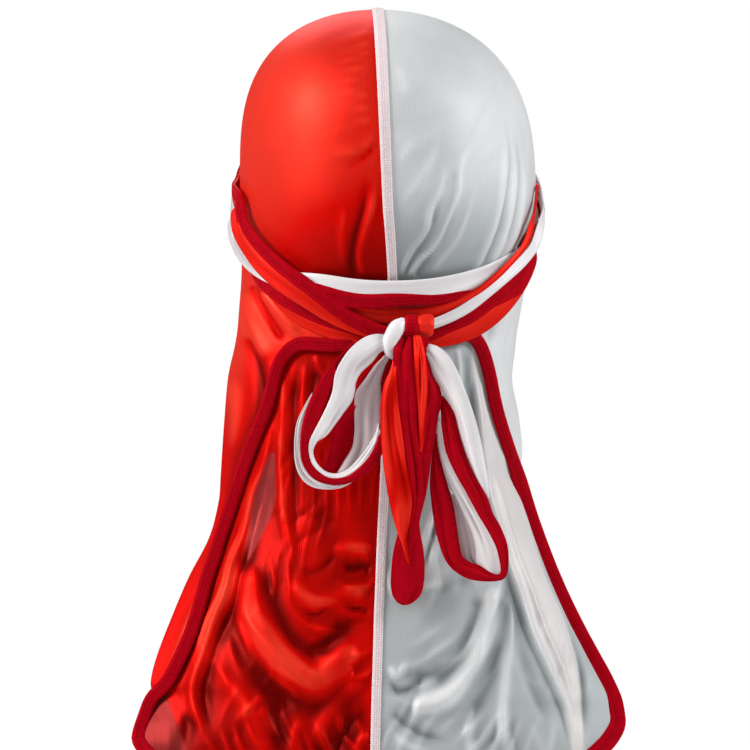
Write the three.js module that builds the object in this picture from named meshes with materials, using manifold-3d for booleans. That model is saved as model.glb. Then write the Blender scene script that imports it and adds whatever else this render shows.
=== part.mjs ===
// Two-colour satin head wrap with a centre seam, bound edges, a long flared tail and two tie
// straps that go round the head and end in a bow at the nape. Units are mm, +Z up.
// Origin: the inside of the crown at its top, where the head carries the wrap.
// +X is the wearer's right, +Y the way the wearer faces, so the bow lies on the -Y side.
import * as THREE from "three";
import Module from "manifold-3d";
import { mergeVertices } from "three/addons/utils/BufferGeometryUtils.js";

// Driving sizes, mm and degrees
const WALL = 1.2; // satin panels
const GAP = 0.35; // clear space kept between neighbouring pieces
const CROWN = { halfWidth: 78.8, halfLength: 96.5, middleZ: -100, rise: 100.6 };
const CROWN_ROUND = { plan: 2.15, side: 2.1, top: 3.1 }; // exponents of the rounded head form
const FAN = { pivotY: 12, pivotZ: -108, first: 21, last: 180, rows: 14 }; // crown rows, over the head
const EAR_ARCH = 13; // radius of the cut-out above each ear
const HEM = { middleZ: -405, cornerRise: { left: 20, right: 27 }, roundness: 8 };
const TAIL_ROWS = 26;
const PANEL_COLUMNS = 12;
const BEND_SLACK = 0.15; // extra clear space where a flat tape goes round a bend
const SEAM = { width: 6.4, tailWidth: 5, thickness: 1.3, crownRows: 28, tailRows: 38, endsAbove: 0.6 };
const TAPE = { width: 7.4, thickness: 2.2, edge: 1.5 }; // knit binding, thinner at both edges
const STRAP = { thickness: 1.6, columns: 2, between: 3 }; // between: stations for each table row
// Side of the tail folded back outward: how far it stands off the cloth behind it, its columns,
// where its bend grows out of that cloth, and its walls at the bend and beyond
const LAPEL = { offset: 3.3, pinned: 2.1, columns: 7, startU: 0.985, sunk: 0.4, rootWall: 0.5, wall: 1 };
const HEM_CORNER = [0.985, 0.965, 0.94, 0.91, 0.87]; // stations round the corner of the hem
const HEM_STEPS = 16;
const TAPE_STEP = 6;
const TAPE_RUN_OUT = { from: 2, to: 20 }; // below the fold, where the tape drops back to the cloth
const FRONT_STEPS = 14;

const clamp = (v, lo, hi) => Math.min(hi, Math.max(lo, v));
const mix = (a, b, f) => a + (b - a) * f;
const smooth = (lo, hi, v) => {
  const f = clamp((v - lo) / (hi - lo), 0, 1);
  return f * f * (3 - 2 * f);
};
const rad = (degrees) => (degrees * Math.PI) / 180;

// Value of one column of a table at a given key, eased between its rows (monotone in the key)
function column(table, index, key) {
  const rising = table[table.length - 1][0] > table[0][0];
  let i = 0;
  while (i < table.length - 2 && (rising ? key > table[i + 1][0] : key < table[i + 1][0])) i += 1;
  const row = (n) => table[clamp(n, 0, table.length - 1)];
  const [a, b] = [row(i), row(i + 1)];
  const f = clamp((key - a[0]) / (b[0] - a[0]), 0, 1);
  const slope = (n) => {
    const [before, after] = [row(n - 1), row(n + 1)];
    return (after[index] - before[index]) / (after[0] - before[0]);
  };
  const span = b[0] - a[0];
  const [f2, f3] = [f * f, f * f * f];
  return (2 * f3 - 3 * f2 + 1) * a[index] + (f3 - 2 * f2 + f) * span * slope(i)
    + (3 * f2 - 2 * f3) * b[index] + (f3 - f2) * span * slope(i + 1);
}

// Level sections of the wrap below the crown.
// z, left and right half width, seam x, y at the seam, y at the side, bend of the flat tail form
const SECTIONS = [
  [-90, 78.8, 78.6, -1.4, -96.5, 0, 3],
  [-108, 78.8, 78.6, 0, -96.5, 0, 3],
  [-120, 77.5, 76.5, 1.0, -93, -1, 3],
  [-145, 76.5, 71.5, 2.4, -84, -4, 3],
  [-165, 77.5, 67.6, 2.0, -77, -9, 3],
  [-180, 79.0, 65.0, 1.2, -75, -14, 3],
  [-197, 81.8, 62.6, 0.6, -75.5, -19, 3],
  [-218, 83.6, 66.6, -0.4, -77.5, -27, 3],
  [-236, 84.8, 68.8, -1.2, -79, -32, 3],
  [-249, 85.6, 65.0, -1.8, -80.5, -35, 3],
  [-262, 86.6, 69.8, -2.4, -82, -38, 3],
  [-282, 91.8, 77.6, -3.4, -85, -43, 3],
  [-303, 102.6, 86.4, -4.2, -88.5, -49, 3],
  [-324, 111.6, 96.0, -5.0, -92.5, -55, 3],
  [-345, 119.6, 107.0, -5.6, -97, -62, 3],
  [-357, 122.4, 113.6, -6.0, -99, -66, 3],
  [-364, 121.6, 117.0, -6.2, -100.5, -68, 3],
  [-371, 122.4, 118.4, -6.4, -101.5, -70, 3],
  [-380, 128.6, 119.6, -6.6, -103, -73, 3],
  [-390, 131.4, 119.4, -6.8, -104.4, -76, 3],
  [-410, 130.0, 117.0, -6.9, -106, -80, 3],
];
const COLUMN = { left: 1, right: 2, seam: 3, back: 4, side: 5, bend: 6 };
const HANGS_FROM = -178; // above this height the cloth is wrapped round head and neck
const HANGS_FREE = -262; // below this one it hangs as a flared sheet

// Ridges (+) and valleys (-) of the hanging cloth, each along a short line of x, z points.
// height, width, points
const FOLDS = [
  [6.0, 9, [[-62, -190], [-72, -250], [-86, -318], [-100, -372]]],
  [-3.5, 8, [[-46, -182], [-58, -240], [-66, -290], [-96, -362]]],
  [4.5, 9, [[-72, -290], [-62, -338], [-36, -362], [-14, -346], [-8, -330]]],
  [-3.0, 9, [[-44, -300], [-34, -338], [-12, -322]]],
  [2.5, 8, [[-24, -240], [-30, -290], [-46, -318]]],
  [5.0, 10, [[40, -205], [52, -260], [64, -300], [56, -336], [32, -362], [10, -370]]],
  [-3.0, 9, [[58, -262], [78, -312], [92, -352], [98, -392]]],
  [3.5, 9, [[64, -256], [86, -318], [108, -384]]],
  [2.5, 9, [[16, -300], [22, -340], [4, -352]]],
];

const superellipse = (v, power) => Math.abs(v) ** (2 / power);

function foldHeight(x, z) {
  let total = 0;
  for (const [height, width, points] of FOLDS) {
    let nearest = Infinity;
    let along = 0;
    for (let i = 0; i + 1 < points.length; i += 1) {
      const [ax, az] = points[i];
      const [bx, bz] = points[i + 1];
      const length2 = (bx - ax) ** 2 + (bz - az) ** 2;
      const f = clamp(((x - ax) * (bx - ax) + (z - az) * (bz - az)) / length2, 0, 1);
      const d = Math.hypot(x - mix(ax, bx, f), z - mix(az, bz, f));
      if (d < nearest) {
        nearest = d;
        along = (i + f) / (points.length - 1);
      }
    }
    const taper = Math.sin(Math.PI * mix(0.12, 0.88, along)) ** 0.6;
    total += height * taper * Math.exp(-((nearest / width) ** 2));
  }
  return total;
}

// Middle of the cloth: side -1 left or +1 right, u 0 at the seam to 1 at the side, z the height
function sheet(side, u, z) {
  const half = column(SECTIONS, side < 0 ? COLUMN.left : COLUMN.right, z);
  const seamX = column(SECTIONS, COLUMN.seam, z);
  const back = column(SECTIONS, COLUMN.back, z);
  const sideY = column(SECTIONS, COLUMN.side, z);
  const hangs = smooth(HANGS_FROM, HANGS_FREE, z);
  const angle = (u * Math.PI) / 2;
  const wrappedX = superellipse(Math.sin(angle), CROWN_ROUND.plan);
  const wrappedY = superellipse(Math.cos(angle), CROWN_ROUND.plan);
  const x = mix(seamX, side * half, mix(wrappedX, u, hangs));
  const folds = foldHeight(x, z) * (1 - smooth(0.84, 1, u)) * smooth(0.04, 0.18, u);
  const curve = mix(wrappedY, 1 - u ** column(SECTIONS, COLUMN.bend, z), hangs);
  return new THREE.Vector3(x, mix(sideY, back, curve) - folds, z);
}

function normalAt(point, u, z, away) {
  const du = 0.004;
  const dz = 0.8;
  const u0 = clamp(u - du, 0, 1);
  const u1 = clamp(u + du, 0, 1);
  const along = point(u1, z).sub(point(u0, z));
  const down = point(u, z - dz).sub(point(u, z + dz));
  const normal = along.cross(down).normalize();
  return normal.dot(away) < 0 ? normal.negate() : normal;
}

const OUTWARD = new THREE.Vector3();
function sheetNormal(side, u, z) {
  OUTWARD.set(side * 0.8, -1, 0.05);
  return normalAt((a, b) => sheet(side, a, b), u, z, OUTWARD);
}

const sheetOff = (side, u, z, off) => sheet(side, u, z).addScaledVector(sheetNormal(side, u, z), off);

// The u of a given x on one section
function uAtX(side, x, z) {
  let [lo, hi] = [0, 1];
  for (let i = 0; i < 26; i += 1) {
    const middle = (lo + hi) / 2;
    if (side * (sheet(side, middle, z).x - x) < 0) lo = middle;
    else hi = middle;
  }
  return (lo + hi) / 2;
}

// Distance from a point on the ear-to-ear axis to the rounded head form, along a direction
function headReach(direction) {
  const value = (r) => {
    const x = direction.x * r;
    const y = FAN.pivotY + direction.y * r;
    const z = FAN.pivotZ + direction.z * r;
    const p = CROWN_ROUND.plan;
    const plan = (Math.abs(x / CROWN.halfWidth) ** p + Math.abs(y / CROWN.halfLength) ** p) ** (1 / p);
    const lift = Math.max(0, z - CROWN.middleZ) / CROWN.rise;
    return plan ** CROWN_ROUND.side + lift ** CROWN_ROUND.top - 1;
  };
  let [lo, hi] = [10, 220];
  for (let i = 0; i < 34; i += 1) {
    const middle = (lo + hi) / 2;
    if (value(middle) < 0) lo = middle;
    else hi = middle;
  }
  return (lo + hi) / 2;
}

// x of the seam over the crown, from the forehead (0) to the back (180 degrees)
const SEAM_OVER_CROWN = [
  [0, -3],
  [60, -5.6],
  [100, -5.6],
  [130, -4],
  [155, -2],
  [180, 0],
];

function evenly(points, count) {
  const lengths = [0];
  for (let i = 1; i < points.length; i += 1) {
    lengths.push(lengths[i - 1] + points[i].distanceTo(points[i - 1]));
  }
  const total = lengths[lengths.length - 1];
  const out = [];
  let at = 0;
  for (let i = 0; i < count; i += 1) {
    const wanted = (total * i) / (count - 1);
    while (at < points.length - 2 && lengths[at + 1] < wanted) at += 1;
    const f = clamp((wanted - lengths[at]) / (lengths[at + 1] - lengths[at]), 0, 1);
    out.push(points[at].clone().lerp(points[at + 1], f));
  }
  return out;
}

const SAMPLES = 72;
const SEAM_HALF_GAP = 0.3;

function crownCurve(side, degrees) {
  const theta = rad(degrees);
  const radial = new THREE.Vector3(0, Math.cos(theta), Math.sin(theta));
  const last = Math.PI / 2 - EAR_ARCH / CROWN.halfWidth;
  const seamX = column(SEAM_OVER_CROWN, 1, degrees);
  const points = [];
  for (let i = 0; i <= SAMPLES; i += 1) {
    const phi = (last * i) / SAMPLES;
    const direction = radial.clone().multiplyScalar(Math.cos(phi));
    direction.x = side * Math.sin(phi);
    const reach = headReach(direction);
    const point = direction.multiplyScalar(reach);
    point.y += FAN.pivotY;
    point.z += FAN.pivotZ;
    point.x += (seamX + side * SEAM_HALF_GAP) * (1 - smooth(0, 1, i / SAMPLES));
    points.push(point);
  }
  return points;
}

function hemZ(side, u) {
  const rise = side < 0 ? HEM.cornerRise.left : HEM.cornerRise.right;
  return HEM.middleZ + rise * u ** HEM.roundness;
}

function tailCurve(side, fraction) {
  const points = [];
  const start = FAN.pivotZ;
  const lastU = mix(1 - EAR_ARCH / CROWN.halfWidth / 1.6, 1, smooth(0, 0.09, fraction));
  for (let i = 0; i <= SAMPLES; i += 1) {
    const u = (lastU * i) / SAMPLES;
    const z = mix(start, hemZ(side, u), fraction);
    const point = sheet(side, u, z);
    point.x += side * SEAM_HALF_GAP * (1 - u);
    points.push(point);
  }
  return points;
}

function crossNormals(grid) {
  const rows = grid.length;
  const columns = grid[0].length;
  return grid.map((row, r) => row.map((_, c) => {
    const along = grid[r][Math.min(c + 1, columns - 1)].clone().sub(grid[r][Math.max(c - 1, 0)]);
    const down = grid[Math.min(r + 1, rows - 1)][c].clone().sub(grid[Math.max(r - 1, 0)][c]);
    return along.cross(down).normalize();
  }));
}

// Closed shell round a grid of points; thickness is one number or a function of row and column
function shell(grid, thickness) {
  const rows = grid.length;
  const columns = grid[0].length;
  const normals = crossNormals(grid);
  const positions = [];
  const at = (r, c, layer) => (layer * rows + r) * columns + c;
  for (const sign of [0.5, -0.5]) {
    for (let r = 0; r < rows; r += 1) {
      for (let c = 0; c < columns; c += 1) {
        const t = typeof thickness === "function" ? thickness(r, c) : thickness;
        const p = grid[r][c].clone().addScaledVector(normals[r][c], sign * t);
        positions.push(p.x, p.y, p.z);
      }
    }
  }
  const index = [];
  const quad = (a, b, c, d) => index.push(a, b, c, a, c, d);
  for (let r = 0; r + 1 < rows; r += 1) {
    for (let c = 0; c + 1 < columns; c += 1) {
      quad(at(r, c, 0), at(r, c + 1, 0), at(r + 1, c + 1, 0), at(r + 1, c, 0));
      quad(at(r, c, 1), at(r + 1, c, 1), at(r + 1, c + 1, 1), at(r, c + 1, 1));
    }
    const last = columns - 1;
    quad(at(r, 0, 0), at(r + 1, 0, 0), at(r + 1, 0, 1), at(r, 0, 1));
    quad(at(r, last, 0), at(r, last, 1), at(r + 1, last, 1), at(r + 1, last, 0));
  }
  for (let c = 0; c + 1 < columns; c += 1) {
    const last = rows - 1;
    quad(at(0, c, 0), at(0, c, 1), at(0, c + 1, 1), at(0, c + 1, 0));
    quad(at(last, c, 0), at(last, c + 1, 0), at(last, c + 1, 1), at(last, c, 1));
  }
  return outwardGeometry(positions, index);
}

function outwardGeometry(positions, index) {
  let volume = 0;
  const v = (i) => new THREE.Vector3().fromArray(positions, i * 3);
  for (let i = 0; i < index.length; i += 3) {
    volume += v(index[i]).dot(v(index[i + 1]).cross(v(index[i + 2]))) / 6;
  }
  if (volume < 0) {
    for (let i = 0; i < index.length; i += 3) {
      [index[i + 1], index[i + 2]] = [index[i + 2], index[i + 1]];
    }
  }
  const geometry = new THREE.BufferGeometry();
  geometry.setAttribute("position", new THREE.Float32BufferAttribute(positions, 3));
  geometry.setIndex(index);
  return geometry;
}

const wasm = await Module();
wasm.setup();

function asSolid(geometry) {
  const merged = mergeVertices(geometry, 1e-4);
  return new wasm.Manifold(new wasm.Mesh({
    numProp: 3,
    vertProperties: new Float32Array(merged.attributes.position.array),
    triVerts: new Uint32Array(merged.index.array),
  }));
}

function asGeometry(solid) {
  const mesh = solid.getMesh();
  const geometry = new THREE.BufferGeometry();
  const positions = new Float32Array(mesh.numVert * 3);
  for (let i = 0; i < mesh.numVert; i += 1) {
    for (let k = 0; k < 3; k += 1) positions[i * 3 + k] = mesh.vertProperties[i * mesh.numProp + k];
  }
  geometry.setAttribute("position", new THREE.BufferAttribute(positions, 3));
  geometry.setIndex(new THREE.BufferAttribute(new Uint32Array(mesh.triVerts), 1));
  return geometry;
}

// Free edge of the folded-back side, and of the tape that binds it: fold z, tape x, tape z.
// The first rows run from under the knot to the bend, the others down the tail.
const EDGE_LEFT = [
  [-140, -24, -178.5],
  [-150, -36, -178.5],
  [-163, -47, -178.0],
  [-176, -54.5, -183.5],
  [-188, -58.8, -192],
  [-206, -63.6, -210],
  [-222, -70, -226],
  [-238, -75.8, -241],
  [-254, -80.6, -256],
  [-268, -84.3, -268],
  [-282, -89, -282],
  [-292, -91.4, -291],
  [-304, -95.7, -303],
  [-320, -100, -319],
  [-334, -104.6, -333],
  [-347, -110.8, -347],
  [-357, -116.6, -358],
];
const EDGE_RIGHT = [
  [-140, 40, -172],
  [-152, 45.5, -174],
  [-170, 50, -181],
  [-186, 53.6, -193],
  [-204, 56.6, -209],
  [-218, 60.2, -222],
  [-230, 65.0, -236],
];

const FOLD_ENDS = { left: -366, right: -249 }; // height where the folded-back side runs out
const tapeClear = TAPE.width / 2 + GAP;
// how far the folded-back side stands off the cloth behind it
const lift = (z) => mix(LAPEL.pinned, LAPEL.offset, smooth(-168, -196, z));

function lapel(side, table) {
  const rows = [];
  for (let i = 0; i < table.length; i += 1) {
    const [foldZ, tapeX, tapeZ] = table[i];
    const before = table[Math.max(i - 1, 0)];
    const after = table[Math.min(i + 1, table.length - 1)];
    const [dx, dz] = [after[1] - before[1], after[2] - before[2]];
    // the cloth stops beside the tape, on its outer side
    const aside = (tapeClear + WALL / 2) / Math.hypot(dx, dz);
    const edgeX = tapeX - side * dz * aside;
    const edgeZ = tapeZ + side * dx * aside;
    const edgeU = uAtX(side, edgeX, edgeZ);
    const row = [];
    row.push(sheet(side, LAPEL.startU, foldZ));
    const end = sheet(side, 1, foldZ);
    const normal = sheetNormal(side, 1, foldZ);
    const onward = end.clone().sub(sheet(side, 0.99, foldZ)).normalize();
    const radius = lift(foldZ) / 2;
    for (const degrees of [-90, -45, 0, 45, 90]) {
      const point = end.clone().addScaledVector(normal, radius + radius * Math.sin(rad(degrees)));
      row.push(point.addScaledVector(onward, radius * Math.cos(rad(degrees)) - LAPEL.sunk));
    }
    for (let k = 1; k < LAPEL.columns; k += 1) {
      const f = k / (LAPEL.columns - 1);
      const z = mix(foldZ, edgeZ, f);
      row.push(sheetOff(side, mix(1, edgeU, f), z, lift(z)));
    }
    rows.push(row);
  }
  return rows;
}

function denser(table, between) {
  const keyed = table.map((row, i) => [i, ...row]);
  const out = [];
  for (let i = 0; i <= (table.length - 1) * between; i += 1) {
    const key = i / between;
    out.push([1, 2, 3].map((k) => column(keyed, k, key)));
  }
  return out;
}

function panel(side, edge) {
  const curves = [];
  for (let i = 0; i <= FAN.rows; i += 1) {
    curves.push(crownCurve(side, mix(FAN.first, FAN.last, i / FAN.rows)));
  }
  for (let i = 1; i <= TAIL_ROWS; i += 1) curves.push(tailCurve(side, i / TAIL_ROWS));
  const main = asSolid(shell(curves.map((curve) => evenly(curve, PANEL_COLUMNS)), WALL));
  const folded = asSolid(shell(lapel(side, edge), (r, c) => (c === 0 ? LAPEL.rootWall : LAPEL.wall)));
  return asGeometry(main.add(folded));
}

// Flat strip along a line of points with its width across it, in a surface with known normals
function strip(stations, thickness, columns = 3) {
  const rows = stations.map(({ centre, across, half }) => {
    const row = [];
    for (let c = 0; c < columns; c += 1) {
      row.push(centre.clone().addScaledVector(across, mix(-half, half, c / (columns - 1))));
    }
    return row;
  });
  return shell(rows, thickness);
}

function stationsAlong(centres, normals, half) {
  return centres.map((centre, i) => {
    const next = centres[Math.min(i + 1, centres.length - 1)];
    const before = centres[Math.max(i - 1, 0)];
    const along = next.clone().sub(before).normalize();
    const across = along.cross(normals[i]).normalize();
    return { centre, across, half: typeof half === "function" ? half(i / (centres.length - 1)) : half };
  });
}

const tapeSection = (r, c) => (c === 1 ? TAPE.thickness : TAPE.edge);

// Binding of one side of the tail: down the folded-back edge, then down the edge of the cloth
// below the fold, round the corner and along the hem to the seam
function tailTape(side, folded, turnZ) {
  const centres = [];
  const normals = [];
  for (const [, x, z] of denser(folded, 2)) {
    const u = uAtX(side, x, z);
    centres.push(sheetOff(side, u, z, lift(z) + GAP));
    normals.push(sheetNormal(side, Math.min(u, 0.97), z));
  }
  const edge = [];
  const cornerZ = hemZ(side, 1);
  const downSteps = Math.round((turnZ - cornerZ) / TAPE_STEP);
  for (let i = 0; i <= downSteps; i += 1) edge.push([1, mix(turnZ, cornerZ, i / downSteps)]);
  for (const u of HEM_CORNER) edge.push([u, hemZ(side, u)]);
  for (let i = 1; i <= HEM_STEPS; i += 1) {
    const u = HEM_CORNER[HEM_CORNER.length - 1] * (1 - i / HEM_STEPS);
    edge.push([u, hemZ(side, u)]);
  }
  const points = edge.map(([u, z]) => sheet(side, u, z));
  points.forEach((point, i) => {
    const [u, z] = edge[i];
    const along = points[Math.min(i + 1, points.length - 1)].clone().sub(points[Math.max(i - 1, 0)]);
    const normal = sheetNormal(side, Math.min(u, 0.97), z);
    const out = along.cross(normal).normalize();
    if (out.dot(new THREE.Vector3(side, 0, -2.2)) < 0) out.negate();
    const off = (LAPEL.offset + GAP) * (1 - smooth(turnZ - TAPE_RUN_OUT.from, turnZ - TAPE_RUN_OUT.to, z));
    const centre = point.clone().addScaledVector(out, tapeClear + BEND_SLACK).addScaledVector(normal, off);
    centre.x += side * (SEAM_HALF_GAP + BEND_SLACK) * (1 - u);
    centres.push(centre);
    normals.push(normal);
  });
  return strip(stationsAlong(centres, normals, TAPE.width / 2), tapeSection);
}

// Binding of the front edge: over the forehead from one temple to the other
function frontTape() {
  const centres = [];
  const normals = [];
  const middle = new THREE.Vector3(0, FAN.pivotY, FAN.pivotZ);
  for (let i = -FRONT_STEPS; i <= FRONT_STEPS; i += 1) {
    const side = i < 0 ? -1 : 1;
    const at = Math.round((SAMPLES * Math.abs(i)) / FRONT_STEPS);
    const edge = crownCurve(side, FAN.first)[at];
    if (i === 0) edge.lerp(crownCurve(-1, FAN.first)[0], 0.5);
    const above = crownCurve(side, FAN.first + 4)[at];
    const out = edge.clone().sub(above).normalize();
    const normal = edge.clone().sub(middle);
    normal.addScaledVector(out, -normal.dot(out)).normalize();
    centres.push(edge.addScaledVector(out, tapeClear));
    normals.push(normal);
  }
  return strip(stationsAlong(centres, normals, TAPE.width / 2), tapeSection);
}

// Flat tape over the joint of the two panels, from the forehead over the crown to the hem
function centreSeam() {
  const centres = [];
  const normals = [];
  const off = WALL / 2 + GAP + BEND_SLACK + SEAM.thickness / 2;
  for (let i = 0; i <= SEAM.crownRows; i += 1) {
    const degrees = mix(FAN.first + SEAM.endsAbove, FAN.last, i / SEAM.crownRows);
    const point = crownCurve(1, degrees)[0];
    const left = crownCurve(-1, degrees)[0];
    point.lerp(left, 0.5);
    const radial = new THREE.Vector3(0, Math.cos(rad(degrees)), Math.sin(rad(degrees)));
    centres.push(point);
    normals.push(radial);
  }
  const bottom = HEM.middleZ + SEAM.endsAbove;
  for (let i = 1; i <= SEAM.tailRows; i += 1) {
    const z = mix(FAN.pivotZ, bottom, i / SEAM.tailRows);
    const point = sheet(1, 0, z).lerp(sheet(-1, 0, z), 0.5);
    centres.push(point);
    normals.push(new THREE.Vector3(0, -1, 0));
  }
  const facing = centres.map((p, i) => {
    const next = centres[Math.min(i + 1, centres.length - 1)];
    const before = centres[Math.max(i - 1, 0)];
    const along = next.clone().sub(before).normalize();
    const n = normals[i].clone();
    return n.addScaledVector(along, -n.dot(along)).normalize();
  });
  const lifted = centres.map((p, i) => p.clone().addScaledVector(facing[i], off));
  const half = (f) => mix(SEAM.width, SEAM.tailWidth, smooth(0.3, 0.6, f)) / 2;
  return strip(stationsAlong(lifted, facing, half), SEAM.thickness);
}

// Cloth surface all round the head for the straps: angle 0 at the nape, 90 at the right side,
// 180 at the forehead, -90 at the left side
function round(degrees, z) {
  const wrapped = ((((degrees + 180) % 360) + 360) % 360) - 180;
  const side = wrapped < 0 ? -1 : 1;
  const angle = rad(Math.abs(wrapped));
  const lift = Math.max(0, z - CROWN.middleZ) / CROWN.rise;
  const shrink = (1 - lift ** CROWN_ROUND.top) ** (1 / CROWN_ROUND.side);
  const low = z < FAN.pivotZ;
  const half = low ? column(SECTIONS, side < 0 ? COLUMN.left : COLUMN.right, z) : CROWN.halfWidth * shrink;
  const back = low ? column(SECTIONS, COLUMN.back, z) : -CROWN.halfLength * shrink;
  const sideY = low ? column(SECTIONS, COLUMN.side, z) : 0;
  const c = Math.cos(angle);
  const front = CROWN.halfLength * shrink;
  const seamX = low && c > 0 ? column(SECTIONS, COLUMN.seam, z) : 0;
  const x = mix(seamX, side * half, superellipse(Math.sin(angle), CROWN_ROUND.plan));
  const y = mix(sideY, c > 0 ? back : front, superellipse(c, CROWN_ROUND.plan));
  return new THREE.Vector3(x, y, z);
}

function roundNormal(degrees, z) {
  const along = round(degrees + 1, z).sub(round(degrees - 1, z));
  const down = round(degrees, z - 1).sub(round(degrees, z + 1));
  const normal = along.cross(down).normalize();
  const out = round(degrees, z).sub(new THREE.Vector3(0, 0, z));
  return normal.dot(out) < 0 ? normal.negate() : normal;
}

// Way of each strap: step, angle, z, distance from the cloth, half width.
// Temple, nape, far side, forehead, own side again, knot.
const STRAP_RED = [
  [0, -112, -93, 2.3, 5.5],
  [1, -100, -98, 2.15, 7],
  [2, -80, -112, 2.15, 7.5],
  [3, -60, -128, 2.15, 7.5],
  [4, -40, -142, 2.2, 7.5],
  [5, -20, -152, 3.1, 7.5],
  [6, 0, -159, 3.95, 7.5],
  [7, 14, -165, 3.95, 7.5],
  [8, 24, -164, 3.9, 7.5],
  [9, 39, -157, 4.7, 7.5],
  [10, 54, -143, 4.6, 7.5],
  [11, 68, -124, 4.6, 7.5],
  [12, 85, -102, 4.6, 8],
  [13, 105, -90, 4.6, 8.5],
  [14, 130, -80, 4.6, 8.5],
  [15, 155, -74, 4.6, 8.5],
  [16, 180, -72, 4.6, 8.5],
  [17, 203, -67, 4.6, 8.5],
  [18, 218, -68, 5.6, 8.5],
  [19, 232, -74, 7.1, 8.5],
  [20, 255, -88, 7.1, 8.5],
  [21, 274, -102, 7.1, 9],
  [22, 292, -128, 7.1, 9],
  [23, 312, -145, 7.1, 9],
  [24, 328, -154, 7.2, 8.8],
  [25, 343, -163, 7.8, 7.5],
  [26, 353, -168, 8.2, 6],
  [27, 361, -171.5, 8.3, 5],
];
const STRAP_WHITE = [
  [0, 112, -93, 2.3, 5.5],
  [1, 100, -98, 2.15, 7],
  [2, 82, -111, 2.15, 7.5],
  [3, 65, -126, 2.15, 7.5],
  [4, 47, -139, 2.15, 7],
  [5, 33, -145, 2.2, 6.5],
  [6, 20, -147, 3.8, 6.5],
  [7, 8, -148, 6.0, 6.5],
  [8, -6, -147.5, 6.2, 6.5],
  [9, -20, -145.5, 5.8, 6.5],
  [10, -36, -142, 4.7, 6.5],
  [11, -54, -138, 4.55, 7],
  [12, -72, -131, 4.55, 7.5],
  [13, -90, -118, 4.55, 7.5],
  [14, -108, -103, 4.55, 7.5],
  [15, -128, -96, 4.55, 8],
  [16, -143, -92, 4.8, 8],
  [17, -158, -86, 6.9, 8.5],
  [18, -180, -79, 7.1, 8.5],
  [19, -205, -78, 7.1, 8.5],
  [20, -230, -85, 7.1, 8.5],
  [21, -255, -98, 7.1, 8],
  [22, -272, -117, 7.1, 8],
  [23, -292, -137, 7.1, 8],
  [24, -311, -151, 7.1, 8],
  [25, -325, -159, 7.0, 7.5],
  [26, -336, -166, 7.4, 6.5],
  [27, -342, -168.5, 7.8, 5.5],
  [28, -348, -168.5, 8.0, 5],
];

function strap(table) {
  const centres = [];
  const normals = [];
  const halves = [];
  const steps = (table.length - 1) * STRAP.between;
  for (let i = 0; i <= steps; i += 1) {
    const key = i / STRAP.between;
    const [angle, z, off, half] = [1, 2, 3, 4].map((k) => column(table, k, key));
    const normal = roundNormal(angle, z);
    centres.push(round(angle, z).addScaledVector(normal, off));
    normals.push(normal);
    halves.push(half);
  }
  return strip(stationsAlong(centres, normals, (f) => halves[Math.round(f * steps)]), STRAP.thickness, STRAP.columns);
}

// Ribbons of the bow: step, x, y, z, half width, turn of the flat from facing backward (0)
// to standing edge-on (90)
const LOOP_LEFT = [
  [0, -4.6, -91.5, -176, 3.2, 0],
  [1, -14, -94, -180, 6, 30],
  [2, -27, -97, -193, 7.5, 45],
  [3, -37, -98, -208, 8, 50],
  [4, -43, -96, -225, 8, 55],
  [5, -41, -95, -241, 8, 60],
  [6, -32, -94, -250, 8, 60],
  [7, -20, -94, -247, 8, 55],
  [8, -12, -93.5, -233, 8, 45],
  [9, -8, -93, -213, 7, 35],
  [10, -6, -92.5, -198, 5.5, 25],
  [11, -2.5, -92.5, -187, 3.6, 10],
];
const TAIL_MIDDLE = [
  [0, 13.9, -92, -174.2, 4.8, 0],
  [1, 12.5, -98, -187, 8, 0],
  [2, 11.5, -101.5, -204, 11.5, 0],
  [3, 10, -101.5, -224, 11.5, 5],
  [4, 9, -100, -242, 11, 8],
  [5, 9, -98.5, -260, 9.5, 8],
  [6, 10, -97, -278, 8, 5],
  [7, 10.5, -96.5, -296, 8, 0],
  [8, 10.5, -97, -307, 7.5, 0],
  [9, 10.5, -97, -314, 3.5, 0],
];
const LOOP_RIGHT = [
  [0, 24, -91.5, -174, 3.6, -5],
  [1, 33, -94, -190, 6.5, -25],
  [2, 41, -96, -212, 7.5, -35],
  [3, 48, -97, -240, 8, -45],
  [4, 55, -96.5, -266, 8, -52],
  [5, 60, -96.5, -288, 8, -58],
  [6, 56, -97, -300, 8, -62],
  [7, 44, -96.5, -298, 8, -58],
  [8, 35, -95.5, -281, 8, -50],
  [9, 29, -93.5, -257, 8, -40],
  [10, 25, -92, -232, 7, -25],
  [11, 23, -91.5, -208, 5, -10],
];

function ribbon(table) {
  const stations = [];
  const steps = (table.length - 1) * STRAP.between;
  const pointAt = (key) => new THREE.Vector3(...[1, 2, 3].map((k) => column(table, k, key)));
  for (let i = 0; i <= steps; i += 1) {
    const key = i / STRAP.between;
    const centre = pointAt(key);
    const along = pointAt(Math.min(key + 0.05, table.length - 1)).sub(pointAt(Math.max(key - 0.05, 0)));
    along.normalize();
    const backward = new THREE.Vector3(0, -1, 0);
    const sideways = along.clone().cross(backward).normalize();
    const turn = rad(column(table, 5, key));
    const across = sideways.multiplyScalar(Math.cos(turn)).addScaledVector(backward, Math.sin(turn));
    across.addScaledVector(along, -across.dot(along)).normalize();
    stations.push({ centre, across, half: column(table, 4, key) });
  }
  return strip(stations, STRAP.thickness, STRAP.columns);
}

function pebble(centre, size, tilt) {
  const geometry = new THREE.SphereGeometry(0.5, 14, 9);
  geometry.deleteAttribute("uv");
  geometry.deleteAttribute("normal");
  const whole = mergeVertices(geometry, 1e-5);
  whole.scale(size[0], size[1], size[2]);
  whole.rotateY(rad(tilt));
  whole.translate(...centre);
  return whole;
}

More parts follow.
